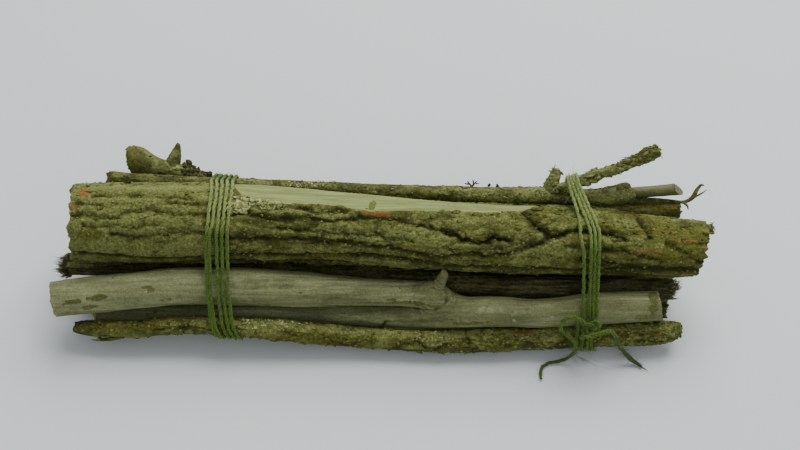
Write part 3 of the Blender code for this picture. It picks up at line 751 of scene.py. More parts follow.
def log_bark(points, degrees, radius):
    """Lumps, plates, cracks and furrows, and the strip where all of them are worn away."""
    x = points[..., 0]
    depth = 0.45 + 0.5 * ripple(points / (17, 8, 8), 1) + 0.3 * layered(points / (5.5, 2.8, 2.8), 3, 2)
    long = creases(points, np.array([19.0, 4.6, 4.6]), 5, 0.10)
    short = creases(points, np.array([7.0, 2.6, 2.6]), 15, 0.12)
    split, lump = plates(points, np.array([6.5, 3.2, 3.2]), 9)
    uneven = step_up(ripple(points / (16, 7, 7), 8), -0.45, 0.45)
    depth += 0.42 * long * (0.3 + 0.7 * uneven) + 0.25 * short * uneven + 0.22 * split * (1 - uneven) + 0.16 * lump
    depth -= 0.09 * (1 - cells(points / 1.1, 12)[0])
    calm = 1 - 0.5 * (1 - step_up(x, -62, -34)) - 0.4 * step_up(x, 80, 92)
    depth *= calm
    drawn, dark = drawn_cracks(points, degrees, radius, LOG_CRACKS)
    for turn, wander, phase in LOG_FURROWS:
        line = turn + wander * np.sin(x / 19 + phase) + 0.5 * wander * np.sin(x / 7.3 + phase)
        aside = ((degrees - line + 180) % 360 - 180) * np.radians(1) * radius + 0.6 * layered(points / 2.3, 2, 30)
        drawn = np.maximum(drawn, 1.2 * dip(aside, 0.8) + 0.5 * dip(aside, 2.2))
        dark = np.maximum(dark, 0.9 * dip(aside, 0.8))
    depth += drawn
    ragged = 1.8 * layered(points / 3.0, 3, 31)
    edge = np.interp(x, STRIP_EDGE[:, 0], STRIP_EDGE[:, 1]) + ragged
    inside = np.minimum(edge - degrees, degrees - STRIP_BACK - ragged) * np.radians(1) * radius
    inside = np.where((x > -52) & (x < 52), inside, -9.0)
    bare = step_up(inside, -0.15, 0.35)
    worn = 0.45 + 0.85 * step_up(degrees, 52, 76)
    wood = worn + 0.12 * layered(points / (22, 1.3, 1.3), 3, 33) + 0.25 * ripple(points / (30, 6, 6), 34)
    depth = depth * (1 - bare) + wood * bare - 0.35 * dip(inside + 0.9, 0.7) * (1 - bare)
    dark = np.maximum(np.maximum(dark, 0.38 * long * uneven), np.maximum(0.25 * short * uneven, 0.25 * split * (1 - uneven)))
    rim = step_up(dip(degrees - 70 - 3 * ragged, 9), 0.35, 0.75) * (x < -50) * (x > -97)
    # Painted shade: the first mask darkens the cracks, the furrows and the lip along the strip.
    masks = {
        "painted_shade": np.clip(dark * (0.4 + 0.6 * calm) * (1 - bare) + 0.5 * dip(inside + 0.1, 0.35), 0, 1),
        "bare": np.maximum(bare, 0.44 * rim),
        "lichen": 0.35 - 0.25 * step_up(x, 60, 90) + spots(points, degrees, LOG_LICHEN, 4),
        "moss": np.maximum(
            spots(points, degrees, LOG_MOSS, 6), 0.5 * uneven * creases(points, np.array([19.0, 4.6, 4.6]), 5, 0.24)
        ),
        "rust": spots(points, degrees, LOG_RUST, 7),
    }
    return depth, masks


# %% Make the log
SPLINTER_ROUTE = [(99.0, 6.8, 31.4, 2.6), (104.0, 7.0, 31.6, 2.3), (108.9, 6.8, 31.9, 1.9)]


def rough_bark(amount, size, seed, masks=None, cracks=0.5, lines=(), swellings=()):
    """Bark for the smaller sticks: lumps and plates of that size, and ragged spots for the masks."""

    def bark(points, degrees, radius):
        stretch = np.array([2.4, 1.0, 1.0]) * size
        depth = amount * (0.5 + 0.7 * ripple(points / (stretch * 2.2), seed) + 0.4 * layered(points / stretch, 3, seed + 1))
        split = creases(points, stretch * (1.8, 1.2, 1.2), seed + 4, 0.11)
        split = np.maximum(split, 0.6 * plates(points, stretch * 1.2, seed + 7)[0])
        split *= step_up(ripple(points / (stretch * 3), seed + 3), -0.4, 0.3)
        depth += amount * 1.3 * cracks * split
        depth -= 0.3 * amount * (1 - cells(points / (0.6 * size), seed + 8)[0])
        # Painted shade: the cracks and the drawn lines are darkened.
        found = {"painted_shade": np.clip(cracks * split, 0, 1)}
        if lines:
            drawn, dark = drawn_cracks(points, degrees, radius, lines)
            depth += drawn
            found["painted_shade"] = np.maximum(found["painted_shade"], dark)
        for x, turn, length, width, height in swellings:
            depth -= height * dip(np.hypot((points[..., 0] - x) / length, (degrees - turn) / width), 1.0)
        for name, table in (masks or {}).items():
            found[name] = spots(points, degrees, table, seed + 6)
        return depth, found

    return bark


log = stick_surface(LOG_ROUTE, 0.46, 192, log_bark, (0.08, 0.06, 0.8, 2.2), (0.16, -0.05, 1.2, 3.0))
splinter = stick_surface(SPLINTER_ROUTE, 0.4, 28, rough_bark(0.4, 1.6, 60, None, 0.9), (0, 0, 0, 1), (-0.3, 0.2, 2.2, 2.0))
make_piece("log", [log, splinter], LOG_BARK, "bark", "thick_log")

# %% [markdown]
# ## The smooth branch and its limb
#
# The branch forks: a thicker limb leaves it at the left, with a broken spur that stands up. Grown wood has no
# sharp corner at a fork, so plain crossing tubes would look wrong. Each tube is made, and then its points are
# pushed out to a smooth blend of all the tubes, which fills the corners as growing wood does.

# %% Routes of the fork
BRANCH_ROUTE = [
    (-97.5, -9.6, 5.2, 3.8), (-78.0, -9.6, 5.7, 3.9), (-54.0, -9.0, 6.4, 4.1), (-28.0, -9.0, 6.8, 4.1),
    (-11.0, -10.4, 7.6, 4.0), (0.0, -11.3, 8.5, 4.1), (9.0, -12.1, 9.4, 4.3), (19.0, -13.1, 11.6, 4.8),
    (29.0, -13.8, 13.8, 5.1), (39.0, -14.2, 14.6, 5.1), (49.0, -14.6, 14.4, 4.9), (58.5, -14.4, 14.8, 5.0),
    (72.0, -13.5, 15.4, 5.4), (91.5, -12.9, 16.0, 5.1),
]
LIMB_ROUTE = [
    (-109.0, -10.5, 16.6, 6.0), (-100.0, -9.7, 17.3, 6.2), (-80.0, -8.2, 18.5, 6.3), (-67.0, -6.9, 19.0, 6.4),
    (-47.5, -6.8, 18.6, 6.4), (-27.5, -7.5, 18.0, 6.1), (-14.0, -8.0, 17.7, 5.3), (-3.0, -8.4, 17.5, 4.7),
    (9.0, -8.9, 17.4, 4.5), (17.0, -9.7, 17.1, 4.3), (22.0, -11.2, 15.6, 3.9), (27.0, -13.2, 14.2, 3.0),
]
SPUR_ROUTE = [(14.6, -10.0, 15.0, 2.2), (16.4, -10.0, 18.8, 2.9), (18.0, -9.7, 22.0, 2.1), (19.2, -9.3, 25.0, 1.8),
              (20.4, -8.9, 28.2, 1.5)]
STUB_ROUTE = [(22.0, -13.5, 10.3, 3.6), (10.0, -13.5, 6.7, 3.2), (0.4, -13.1, 5.4, 2.5)]


# %% Fill the corners of the fork
FORK = [smooth_route(route, 0.5) for route in (BRANCH_ROUTE, LIMB_ROUTE, SPUR_ROUTE)]


def grown_together(points, softness=1.1):
    """Moves points out to a blend: -k log(sum of exp(-distance / k)) over the tubes, k being the softness."""
    flat = points.reshape(-1, 3).copy()
    near = np.flatnonzero((flat[:, 0] > 4) & (flat[:, 0] < 42))
    for _ in range(3):
        here = flat[near]
        shares, ways = [], []
        for rows in FORK:
            apart = here[:, None] - rows[None, :, :3]
            reach = np.linalg.norm(apart, axis=2)
            best = (reach - rows[:, 3]).argmin(axis=1)
            pick = np.arange(len(here))
            shares.append(np.exp(-(reach - rows[:, 3])[pick, best] / softness))
            ways.append(apart[pick, best] / reach[pick, best][:, None])
        total = sum(shares)
        gap = np.minimum(-softness * np.log(total), 0.0)
        way = unit(sum(share[:, None] * way for share, way in zip(shares, ways)) / total[:, None])
        shown = step_up(gap, -3.0, -2.0) * step_up(here[:, 0], 6, 22) * (1 - step_up(here[:, 0], 34, 42))
        flat[near] -= (gap * shown)[:, None] * way
    return flat.reshape(points.shape)


# %% Smooth bark and its marks
BRANCH_LINES = [
    (0.9, 0.5, [(-0.9, 196), (0.3, 168), (1.4, 146)]),
    (0.35, 0.5, [(1.4, 146), (4, 149), (8, 151), (14, 160), (19, 167), (25, 166)]),
]
LIMB_LINES = [
    (0.55, 0.45, [(10, 171), (14, 165), (17, 161), (19, 148), (20.5, 120), (21.8, 80)]),
    (0.25, 0.4, [(-19, 166), (-15, 136)]),
    (0.35, 0.8, [(-20, 192), (-8, 188), (2, 182), (10, 176), (18, 168)]),
]


COLLAR_CENTRE = np.array([16.9, -11.6, 18.9])
COLLARS = (4.3, 5.7, 6.9)


def smooth_bark(seed, masks=None, amount=0.12, lines=()):
    """Smooth bark: slow dents, wrinkles along the wood, and collars, which are rings round the broken spur."""

    def bark(points, degrees, radius):
        depth = amount * (1 + 1.6 * ripple(points / (14, 5, 5), seed) + 0.8 * layered(points / (9, 1.1, 1.1), 3, seed + 1))
        depth += 0.35 * amount * layered(points / 2.2, 2, seed + 2)
        reach = np.linalg.norm((points - COLLAR_CENTRE) * (0.9, 1, 1), axis=-1) + 0.45 * layered(points / 2.4, 2, 73)
        rings = sum(dip(reach - ring, 0.28) * step_up(ripple(points / 2.6, 74 + int(ring)), -0.6, 0.1) for ring in COLLARS)
        depth += 0.24 * rings - 0.3 * dip(reach - 5.0, 1.6)
        # Painted shade: the collar rings and the drawn creases are darkened.
        found = {"painted_shade": 0.4 * rings}
        if lines:
            drawn, dark = drawn_cracks(points, degrees, radius, lines)
            depth += drawn
            found["painted_shade"] = np.clip(np.maximum(2.2 * dark, found["painted_shade"]), 0, 1)
        for name, table in (masks or {}).items():
            found[name] = spots(points, degrees, table, seed + 6)
        return depth, found

    return bark


BRANCH_MARKS = {
    "moss": [(29, 172, 7, 12, 0.9), (88.5, 120, 2.0, 100, 0.8), (86, 172, 4, 22, 0.7), (62, 190, 10, 12, 0.4),
             (23, 164, 4, 7, 0.6), (8, 156, 5, 6, 0.4)],
    "rust": [(90.6, 130, 0.7, 120, 0.45)],
    "lichen": [(40, 118, 13, 24, 0.55), (20, 120, 8, 20, 0.35), (55.6, 144, 0.8, 5, 1.0), (43, 161, 0.7, 5, 0.9),
               (78, 130, 10, 25, 0.3)],
}
LIMB_MARKS = {
    "moss": [(9, 170, 7, 12, 1.0), (-2, 176, 8, 9, 0.7), (-27, 136, 2.4, 5, 0.7), (-19, 129, 1.6, 4, 0.5),
             (-3, 122, 2.6, 5, 0.6), (3, 156, 2.2, 8, 0.9), (17, 172, 4, 9, 0.9), (-77, 121, 1.8, 7, 0.9),
             (-75.5, 134, 1.6, 8, 0.8), (-93.5, 140, 3.4, 11, 1.0), (-95.5, 168, 3.4, 8, 0.9), (-101, 146, 3.4, 11, 1.0),
             (-71, 170, 2.6, 8, 0.7), (-106, 160, 2.5, 10, 0.6), (-59, 142, 2, 8, 0.5), (-84, 150, 2, 6, 0.4),
             (-46, 178, 4, 8, 0.6), (13, 100, 3, 5, 0.6)],
    "rust": [(-96.5, 178, 2, 5, 0.7), (-56, 176, 3, 14, 0.5), (-57, 150, 1.2, 24, 0.4)],
    "bare": [(-88, 120, 46, 70, 1.0)],
    "lichen": [(-88, 122, 26, 46, 0.3), (-52, 118, 16, 34, 0.3), (-20, 130, 14, 16, 0.25), (17.5, 115, 1.2, 7, 1.0)],
}

# %% Make the smooth branch
branch = stick_surface(
    BRANCH_ROUTE, 0.6, 64, smooth_bark(70, BRANCH_MARKS, 0.12, BRANCH_LINES), (0.2, 0.3, 0.3, 1),
    (-0.1, 0.05, 0.35, 0.8), mould=grown_together,
)
stub = stick_surface(STUB_ROUTE, 0.5, 40, smooth_bark(74), (0, 0, 0, 1), (0.35, 0.2, 0.4, 1))
make_piece("smooth_branch", [branch, stub], SMOOTH_BARK, "smooth_bark", "smooth_branch")
limb = stick_surface(
    LIMB_ROUTE, 0.6, 72, smooth_bark(77, LIMB_MARKS, 0.14, LIMB_LINES), (0.05, 0.1, 0.4, 1), (0, 0, 0, 1),
    mould=grown_together,
)
spur = stick_surface(
    SPUR_ROUTE, 0.3, 44, smooth_bark(79, {"lichen": [(20.3, 90, 1.2, 400, 0.6)]}, 0.2), (0, 0, 0, 1),
    (0.2, 0.3, 0.5, 1), (1.0, 0.0, 0.0), grown_together,
)
make_piece("smooth_limb", [limb, spur], SMOOTH_BARK, "smooth_bark", "smooth_branch_limb")

# %% [markdown]
# ## The other sticks
#
# The front stick is the mossiest. The twig along the top has a knot, a spur and a limb that rises. The stick
# behind the log has a swollen round head. The rest lie in the shade under and behind the log.

# %% Routes of the other sticks
FRONT_ROUTE = [
    (-102.5, -16.4, 9.0, 2.0), (-98.5, -16.6, 8.8, 2.8), (-80.5, -17.1, 9.1, 3.1), (-67.0, -16.6, 10.2, 3.1),
    (-47.5, -17.0, 9.8, 3.3), (-34.0, -17.5, 8.8, 3.8), (-14.0, -18.5, 6.7, 3.5), (6.0, -19.4, 5.4, 3.5),
    (19.0, -19.9, 5.2, 3.8), (32.5, -19.5, 5.3, 4.0), (52.5, -18.9, 5.7, 3.8), (72.5, -18.2, 6.5, 3.8),
    (89.0, -17.5, 6.9, 4.1), (95.5, -17.0, 7.2, 3.7), (98.9, -16.8, 7.4, 3.0),
]
TOP_ROUTE = [
    (-93.5, 28.9, 32.7, 2.4), (-79.5, 28.5, 31.7, 2.4), (-55.0, 27.7, 30.9, 2.4), (-28.0, 26.2, 30.8, 2.6),
    (6.0, 22.2, 32.8, 2.8), (22.5, 20.3, 34.4, 2.8), (39.0, 18.6, 35.6, 2.8), (54.0, 17.7, 36.4, 2.9),
    (69.0, 17.2, 36.0, 2.9), (77.5, 17.4, 36.6, 3.6), (81.5, 18.2, 37.2, 3.2),
]
TOP_LIMB_ROUTE = [
    (55.0, 18.0, 36.9, 1.9), (57.5, 17.7, 38.8, 2.2), (60.5, 17.2, 41.6, 2.1), (64.0, 17.2, 43.3, 2.1),
    (69.5, 18.4, 45.2, 2.1), (78.5, 20.5, 47.4, 2.2), (90.0, 23.7, 51.8, 2.5),
]
TOP_SPUR_ROUTE = [(55.2, 18.2, 36.0, 2.9), (56.4, 19.8, 39.6, 2.5), (57.4, 21.6, 42.4, 2.0), (57.9, 22.5, 43.9, 1.5)]
THIN_ROUTE = [
    (46.0, 23.6, 32.0, 1.5), (60.0, 22.8, 32.1, 1.6), (73.5, 22.2, 32.3, 1.7), (86.5, 22.0, 33.2, 1.9),
    (99.3, 22.2, 34.5, 2.1),
]
KNOBBLY_ROUTE = [
    (-87.2, 37.2, 33.2, 4.1), (-86.2, 37.1, 33.1, 4.9), (-84.4, 36.9, 32.6, 5.1), (-80.8, 36.2, 31.4, 4.1),
    (-78.0, 35.9, 30.7, 3.4), (-74.0, 35.3, 30.0, 3.1), (-67.0, 33.9, 28.2, 3.1),
    (-54.5, 30.9, 25.1, 3.1), (-29.0, 27.0, 21.9, 3.1), (6.0, 22.6, 22.4, 3.2), (40.0, 20.6, 25.7, 3.1),
    (74.0, 19.4, 26.6, 3.1), (100.5, 18.5, 27.9, 2.9),
]
KNOBBLY_SPUR_ROUTE = [(-73.5, 35.0, 29.8, 3.0), (-71.9, 38.4, 32.8, 2.3), (-70.6, 42.0, 36.2, 0.8)]
FRAYED_ROUTE = [
    (-108.0, 8.3, 11.6, 4.1), (-55.0, 8.1, 11.2, 4.1), (-11.0, 4.1, 11.9, 4.1), (33.0, -2.3, 13.0, 4.0),
    (70.0, -3.5, 13.0, 4.0), (96.0, -3.8, 13.0, 3.8),
]
INNER_ROUTE = [
    (-92.0, -1.9, 10.8, 2.0), (-50.0, -1.6, 11.2, 1.9), (-24.0, -2.6, 10.7, 1.8), (-8.0, -4.0, 10.0, 1.8),
    (10.0, -5.5, 9.2, 1.8), (24.0, -6.5, 8.4, 2.0), (36.0, -7.4, 8.0, 2.3), (70.0, -9.1, 7.1, 2.8),
    (95.0, -8.6, 7.7, 2.7),
]
UNDER_FRONT_ROUTE = [
    (-97.0, 3.6, 2.1, 3.7), (-83.0, 3.0, 2.1, 3.7), (-54.0, 1.0, 5.9, 3.6), (-10.0, -1.6, 4.9, 3.4),
    (16.0, -1.9, 4.6, 3.4), (40.0, -1.8, 5.0, 3.4), (70.0, -0.6, 5.6, 3.4), (86.0, 0.4, 1.9, 3.4),
    (98.0, 1.0, 1.9, 3.4),
]
UNDER_BACK_ROUTE = [
    (-99.0, 20.5, 2.8, 4.7), (-84.0, 19.6, 2.8, 4.8), (-54.0, 17.5, 7.0, 4.8), (-10.0, 12.6, 7.0, 4.9),
    (30.0, 10.6, 7.2, 4.9), (70.0, 10.5, 7.2, 4.9), (87.0, 11.4, 2.8, 4.8), (101.0, 12.5, 2.8, 4.7),
]
BACK_ROUTE = [
    (-101.0, 26.0, 15.0, 4.0), (-54.0, 22.9, 16.1, 4.0), (-10.0, 19.6, 14.6, 4.0), (30.0, 16.5, 16.0, 4.1),
    (70.0, 14.9, 16.7, 4.1), (93.0, 14.6, 17.2, 3.9),
]
print("routes:", 11)

# %% Make the front stick
FRONT_LINES = [
    (1.0, 0.5, [(27.5, 60), (27.8, 110), (28.6, 150)]),
    (0.8, 0.5, [(10.6, 116), (12.6, 142), (14.5, 160)]),
    (0.7, 0.5, [(17.0, 184), (19.6, 160), (22.0, 146)]),
    (0.6, 0.5, [(-76, 120), (-70, 124), (-64, 118)]),
    (0.6, 0.5, [(60, 130), (68, 138), (78, 132), (86, 136)]),
]
FRONT_MARKS = {
    "lichen": [(-44, 96, 7, 36, 1.0), (-30, 96, 9, 26, 1.0), (-12, 90, 6, 20, 0.6), (4, 88, 5, 24, 0.7),
               (17, 104, 7, 36, 0.9), (-66, 110, 12, 26, 0.5), (52, 112, 6, 30, 0.7), (34, 120, 5, 30, 0.5),
               (84, 120, 18, 60, 0.5)],
    "moss": [(-94, 130, 10, 60, 0.6), (-76, 104, 9, 40, 0.6), (-16, 150, 16, 34, 0.6), (-4, 120, 6, 30, 0.5),
             (38, 130, 8, 50, 0.6), (80, 130, 14, 60, 0.35), (96, 130, 8, 60, 0.2), (-36, 168, 20, 30, 0.6)],
    "rust": [(47, 92, 4.6, 9, 1.0), (63, 128, 2.2, 12, 1.0), (76, 122, 3, 9, 0.8), (26, 152, 5, 6, 0.6),
             (36, 180, 5, 8, 0.5), (-4, 168, 3, 8, 0.3)],
}
front = stick_surface(
    FRONT_ROUTE, 0.47, 57, rough_bark(0.5, 2.0, 80, FRONT_MARKS, 0.7, FRONT_LINES, [(42, 78, 76, 38, 1.05)]), (0.15, 0.0, 0.6, 1.5),
    (0.2, -0.15, 0.9, 1.5),
)
make_piece("front_stick", [front], FRONT_BARK, "bark", "front_stick")

# %% Make the top twig and its limb
TOP_MARKS = {
    "lichen": [(-44, 100, 6, 50, 1.0), (-28, 110, 6, 30, 0.9), (62, 120, 20, 60, 0.8), (30, 110, 12, 40, 0.5)],
    "moss": [(-86, 110, 9, 60, 0.5), (66, 140, 6, 40, 0.6)],
    "bare": [(76, 104, 1.5, 26, 1.0)],
}
TOP_SWELLINGS = [(79.6, 92, 2.6, 40, 1.6), (75.6, 100, 1.8, 30, 0.9), (-91, 100, 2.4, 60, 0.5), (50, 100, 4, 60, 0.4)]
TOP_LIMB_MARKS = {"moss": [(87, 100, 5, 80, 0.8)], "lichen": [(72, 110, 16, 120, 1.0)]}
twig = stick_surface(
    TOP_ROUTE, 0.5, 46, rough_bark(0.32, 1.3, 90, TOP_MARKS, swellings=TOP_SWELLINGS), (0.4, 0.2, 0.9, 1.2), (0.3, 0.5, 0.5, 1)
)
top_spur = stick_surface(
    TOP_SPUR_ROUTE, 0.3, 28, rough_bark(0.4, 1.2, 93, {"lichen": [(57, 90, 9, 400, 1.0)]}), (0, 0, 0, 1), (0.4, 0.3, 2.4, 1.6), (1.0, 0.0, 0.0)
)
make_piece("top_twig", [twig, top_spur], TWIG_BARK, "bark", "top_twig")
top_limb = stick_surface(
    TOP_LIMB_ROUTE, 0.32, 42, rough_bark(0.55, 1.2, 96, TOP_LIMB_MARKS, 1.0), (0, 0, 0, 1), (0.2, 0.3, 1.0, 1.2)
)
make_piece("top_limb", [top_limb], TWIG_BARK, "bark", "top_twig_limb")

# %% Make the thin twig and the stick with the round head
thin = stick_surface(THIN_ROUTE, 0.45, 30, smooth_bark(100, None, 0.08), (0, 0, 0.3, 1), (-0.9, 0.0, 0.15, 0.6))
make_piece("thin_twig", [thin], THIN_BARK, "smooth_bark", "thin_twig")
KNOBBLY_MARKS = {
    "moss": [(-87, 130, 4.5, 120, 0.75), (-78, 170, 8, 50, 0.4), (94, 110, 14, 60, 0.8)],
    "lichen": [(-74, 110, 6, 60, 0.7)],
    "bare": [(-70.4, 92, 1.3, 14, 1.0)],
}
knobbly = stick_surface(
    KNOBBLY_ROUTE, 0.6, 52, rough_bark(0.26, 1.8, 103, KNOBBLY_MARKS, 0.35), (-0.2, 0.1, 0.1, 1, 0.7), (0.1, 0.1, 0.9, 1.5)
)
knobbly_spur = stick_surface(
    KNOBBLY_SPUR_ROUTE, 0.3, 30, rough_bark(0.25, 1.1, 106), (0, 0, 0, 1), (0.1, 0.1, 0.3, 1), (1.0, 0.0, 0.0)
)
make_piece("knobbly_stick", [knobbly, knobbly_spur], TWIG_BARK, "bark", "knobbly_stick")

# %% Make the sticks in the shade
def rotten(points, degrees, radius):
    """Old wood without bark: long fibres side by side, with deep gaps between some of them."""
    strands = ripple(points / (30, 1.1, 1.1), 110)
    depth = 0.35 + 0.3 * layered(points / (18, 3, 3), 3, 111) + 0.25 * strands + 0.4 * dip(strands, 0.08)
    # Painted shade darkens the gaps between the fibres.
    return depth, {"painted_shade": 0.55 * dip(strands, 0.10), "lichen": spots(points, degrees, [(-104, 130, 7, 90, 0.5)], 5)}


frayed = stick_surface(FRAYED_ROUTE, 0.7, 58, rotten, (0.1, 0.2, 2.6, 4), (-0.2, 0.1, 2.6, 5))
make_piece("frayed_stick", [frayed], DARK_BARK, "dark_bark", "frayed_stick")
inner = stick_surface(INNER_ROUTE, 0.8, 30, rough_bark(0.2, 1.4, 113), (0.2, 0.3, 0.5, 1), (0.1, 0.1, 1.6, 1.5))
make_piece("inner_stick", [inner], DARK_BARK, "dark_bark", "inner_stick")
under_front = stick_surface(
    UNDER_FRONT_ROUTE, 0.9, 36, rough_bark(0.3, 1.8, 116), (0.1, 0.2, 0.6, 1), (0.1, -0.2, 0.6, 1)
)
make_piece("front_under_stick", [under_front], TWIG_BARK, "bark", "under_stick_front")
under_back = stick_surface(
    UNDER_BACK_ROUTE, 0.9, 44, rough_bark(0.35, 2.2, 119), (0.1, 0.2, 0.6, 1), (0.1, -0.2, 0.6, 1)
)
make_piece("back_under_stick", [under_back], LOG_BARK, "bark", "under_stick_back")
back = stick_surface(BACK_ROUTE, 0.9, 40, smooth_bark(122, {"moss": [(-60, 60, 30, 40, 0.5)]}, 0.2), (0.1, 0.2, 0.5, 1), (0.1, 0.1, 0.5, 1))
make_piece("back_stick", [back], SMOOTH_BARK, "smooth_bark", "back_stick")

# %% [markdown]
# ## Lichen grains, bark flakes and fibres
#
# Old bark isn't closed like skin: grains of lichen and flakes of bark stand off it, and its outline is rough.
# Those are too many to place by hand. Each is a small egg with few faces, pressed flat, and random quads of
# the sticks' own surfaces say where they sit and which way they face.


# %% Many small lumps in one mesh
def lumps(centres, facing, sizes, seed, lean=0.3, marks=None):
    """Lump k = centre + side * x + up * y + facing * z of a unit sphere, times its three sizes, a bit uneven."""
    rng = np.random.default_rng(seed)
    count = len(centres)
    facing = unit(facing + lean * rng.normal(size=(count, 3)))
    side = unit(np.array([1.0, 0.03, 0.02]) - (facing @ np.array([1.0, 0.03, 0.02]))[:, None] * facing)
    up = np.cross(facing, side)
    polar = np.linspace(0, math.pi, 5)[1:-1, None]
    angle = np.arange(6) / 6 * math.tau
    ball = np.stack([np.sin(polar) * np.cos(angle), np.sin(polar) * np.sin(angle), -np.cos(polar) + 0 * angle], -1)
    ball = np.vstack([ball.reshape(-1, 3), [[0, 0, -1], [0, 0, 1]]])
    shape = ball[None] * (1 + 0.28 * rng.normal(size=(count, len(ball), 1)).clip(-2, 2)) * sizes[:, None]
    points = centres[:, None] + shape[..., :1] * side[:, None] + shape[..., 1:2] * up[:, None] + shape[..., 2:] * facing[:, None]
    points[..., 2] = np.maximum(points[..., 2], 0.05)
    quads, fans = tube_faces(3, 6)
    start = (np.arange(count) * len(ball))[:, None, None]
    values = np.zeros((count * len(ball), len(FIELDS)))
    for name, value in (marks or {}).items():
        values[:, FIELDS.index(name)] = value
    return points.reshape(-1, 3), [(quads + start).reshape(-1, 4), (fans + start).reshape(-1, 3)], values


def scatter(surface, count, seed, field=None, base=1.0):
    """Random places on a surface, more of them where a mask is strong, and the way each faces."""
    points, (quads, _), values = surface
    corners = points[quads]
    crossed = np.cross(corners[:, 2] - corners[:, 0], corners[:, 3] - corners[:, 1])
    weight = np.linalg.norm(crossed, axis=1) * (values[quads[:, 0], FIELDS.index("bare")] < 0.3)
    if field:
        weight = weight * (base + values[quads[:, 0], FIELDS.index(field)])
    rng = np.random.default_rng(seed)
    pick = rng.choice(len(quads), count, p=weight / weight.sum())
    return corners[pick].mean(axis=1), unit(crossed[pick] + 1e-12)


def grains_on(surface, count, seed, size, field="lichen", base=0.25, marks=None):
    """Lumps of that size in mm, sunk into a surface where a mask is strong."""
    centres, facing = scatter(surface, count, seed, field, base)
    rng = np.random.default_rng(seed + 500)
    sizes = size * rng.uniform(0.5, 1.3, (count, 1)) * np.array([1.25, 0.9, 0.55])
    return lumps(centres + 0.1 * size * facing, facing, sizes, seed + 900, 0.35, marks)


def flakes_on(surface, count, seed, size, field=None, base=1.0, marks=None):
    """Thin plates of bark that have come a little loose and lean out."""
    centres, facing = scatter(surface, count, seed, field, base)
    rng = np.random.default_rng(seed + 500)
    sizes = size * rng.uniform(0.5, 1.4, (count, 1)) * np.array([1.7, 0.75, 0.16])
    return lumps(centres + 0.12 * size * facing, facing, sizes, seed + 900, 0.24, marks or {"raised": 0.6})


# %% Grow them on the sticks
GREY = {"lichen": 0.7, "raised": 0.85}
MOSSY = {"moss": 0.75, "raised": 0.4}
log_grains = [
    grains_on(log, 1500, 201, 0.42, marks=GREY),
    grains_on(log, 500, 202, 0.5, "moss", 0.05, MOSSY),
    flakes_on(log, 240, 203, 0.9),
]
make_piece("log_grains", log_grains, LOG_BARK, "bark")
front_grains = [
    grains_on(front, 650, 211, 0.42, marks=GREY),
    grains_on(front, 450, 212, 0.5, "moss", 0.1, MOSSY),
    flakes_on(front, 110, 213, 0.8),
]
make_piece("front_grains", front_grains, FRONT_BARK, "bark")
twig_grains = [
    grains_on(twig, 420, 221, 0.34, marks=GREY),
    flakes_on(twig, 110, 222, 0.65),
    flakes_on(top_limb, 110, 223, 0.8, marks={"lichen": 0.6, "raised": 0.8}),
    grains_on(top_limb, 160, 224, 0.4, "moss", 0.1, MOSSY),
    flakes_on(top_spur, 24, 225, 0.8, marks={"lichen": 0.6, "raised": 0.8}),
    grains_on(knobbly, 220, 226, 0.4, "moss", 0.1, MOSSY),
    flakes_on(knobbly, 50, 227, 0.6),
    flakes_on(frayed, 70, 228, 0.9),
]
make_piece("twig_grains", twig_grains, TWIG_BARK, "bark")


# %% [markdown]
# A leafy lichen grows on the log beside the left winding. Its lobes are pale and curl up, so these lumps are
# flatter, larger and lean further, and they have a material of their own. Dark buds and crumbs sit on the
# stick with the round head, and a tiny dark sprig stands on the top twig.


# %% The leafy lichen
def two_tone_material(name, dark, light):
    """Two tones in small patches, for things too small to show more."""
    made, tree, shader, where = new_material(name, 0.85)
    tones = mottle(tree, where, 700.0, 3.0)
    colour = blend_colours(tree, rise(tree, tones, 0.35, 0.65), dark, light)
    tree.links.new(colour, shader.inputs["Base Color"])
    return made


def patch_of_lobes(surface, count, seed, x, degrees_low, degrees_high, middle, size):
    """Lobes on the part of a surface between two x values and two angles round a middle line (y, z)."""
    centres, facing = scatter(surface, 60000, seed)
    turn = np.degrees(np.arctan2(centres[:, 2] - middle[1], centres[:, 1] - middle[0]))
    inside = (centres[:, 0] > x[0]) & (centres[:, 0] < x[1]) & (turn > degrees_low) & (turn < degrees_high)
    inside &= ripple(centres / 2.2, seed) > -0.25
    centres, facing = centres[inside][:count], facing[inside][:count]
    rng = np.random.default_rng(seed + 1)
    sizes = size * rng.uniform(0.5, 1.3, (len(centres), 1)) * np.array([1.1, 0.85, 0.24])
    return lumps(centres + 0.35 * size * facing, facing, sizes, seed + 2, 0.9)


LEAFY = two_tone_material("leafy lichen", (0.22, 0.23, 0.06), (0.52, 0.54, 0.25))
lobes = [
    patch_of_lobes(log, 190, 231, (-49.5, -44), 88, 112, (10.8, 29.9), 0.95),
    patch_of_lobes(log, 150, 232, (-45, -32), 94, 106, (10.5, 29.9), 0.75),
    patch_of_lobes(front, 60, 235, (-47, -24), 70, 124, (-17.4, 9.3), 0.5),
    patch_of_lobes(front, 26, 236, (11, 22), 70, 124, (-19.8, 5.2), 0.4),
    patch_of_lobes(twig, 40, 237, (-32, -20), 60, 130, (26.0, 30.9), 0.45),
]
make_piece("leafy_lichen", lobes, LEAFY, "bark")


# %% Buds, crumbs and a sprig
def spike(route, seed, around=10):
    """A short thin twiglet."""
    return stick_surface(route, 0.25, around, rough_bark(0.06, 0.8, seed), (0, 0, 0, 1), (0, 0, 0.1, 0.5), (1.0, 0.2, 0.1))


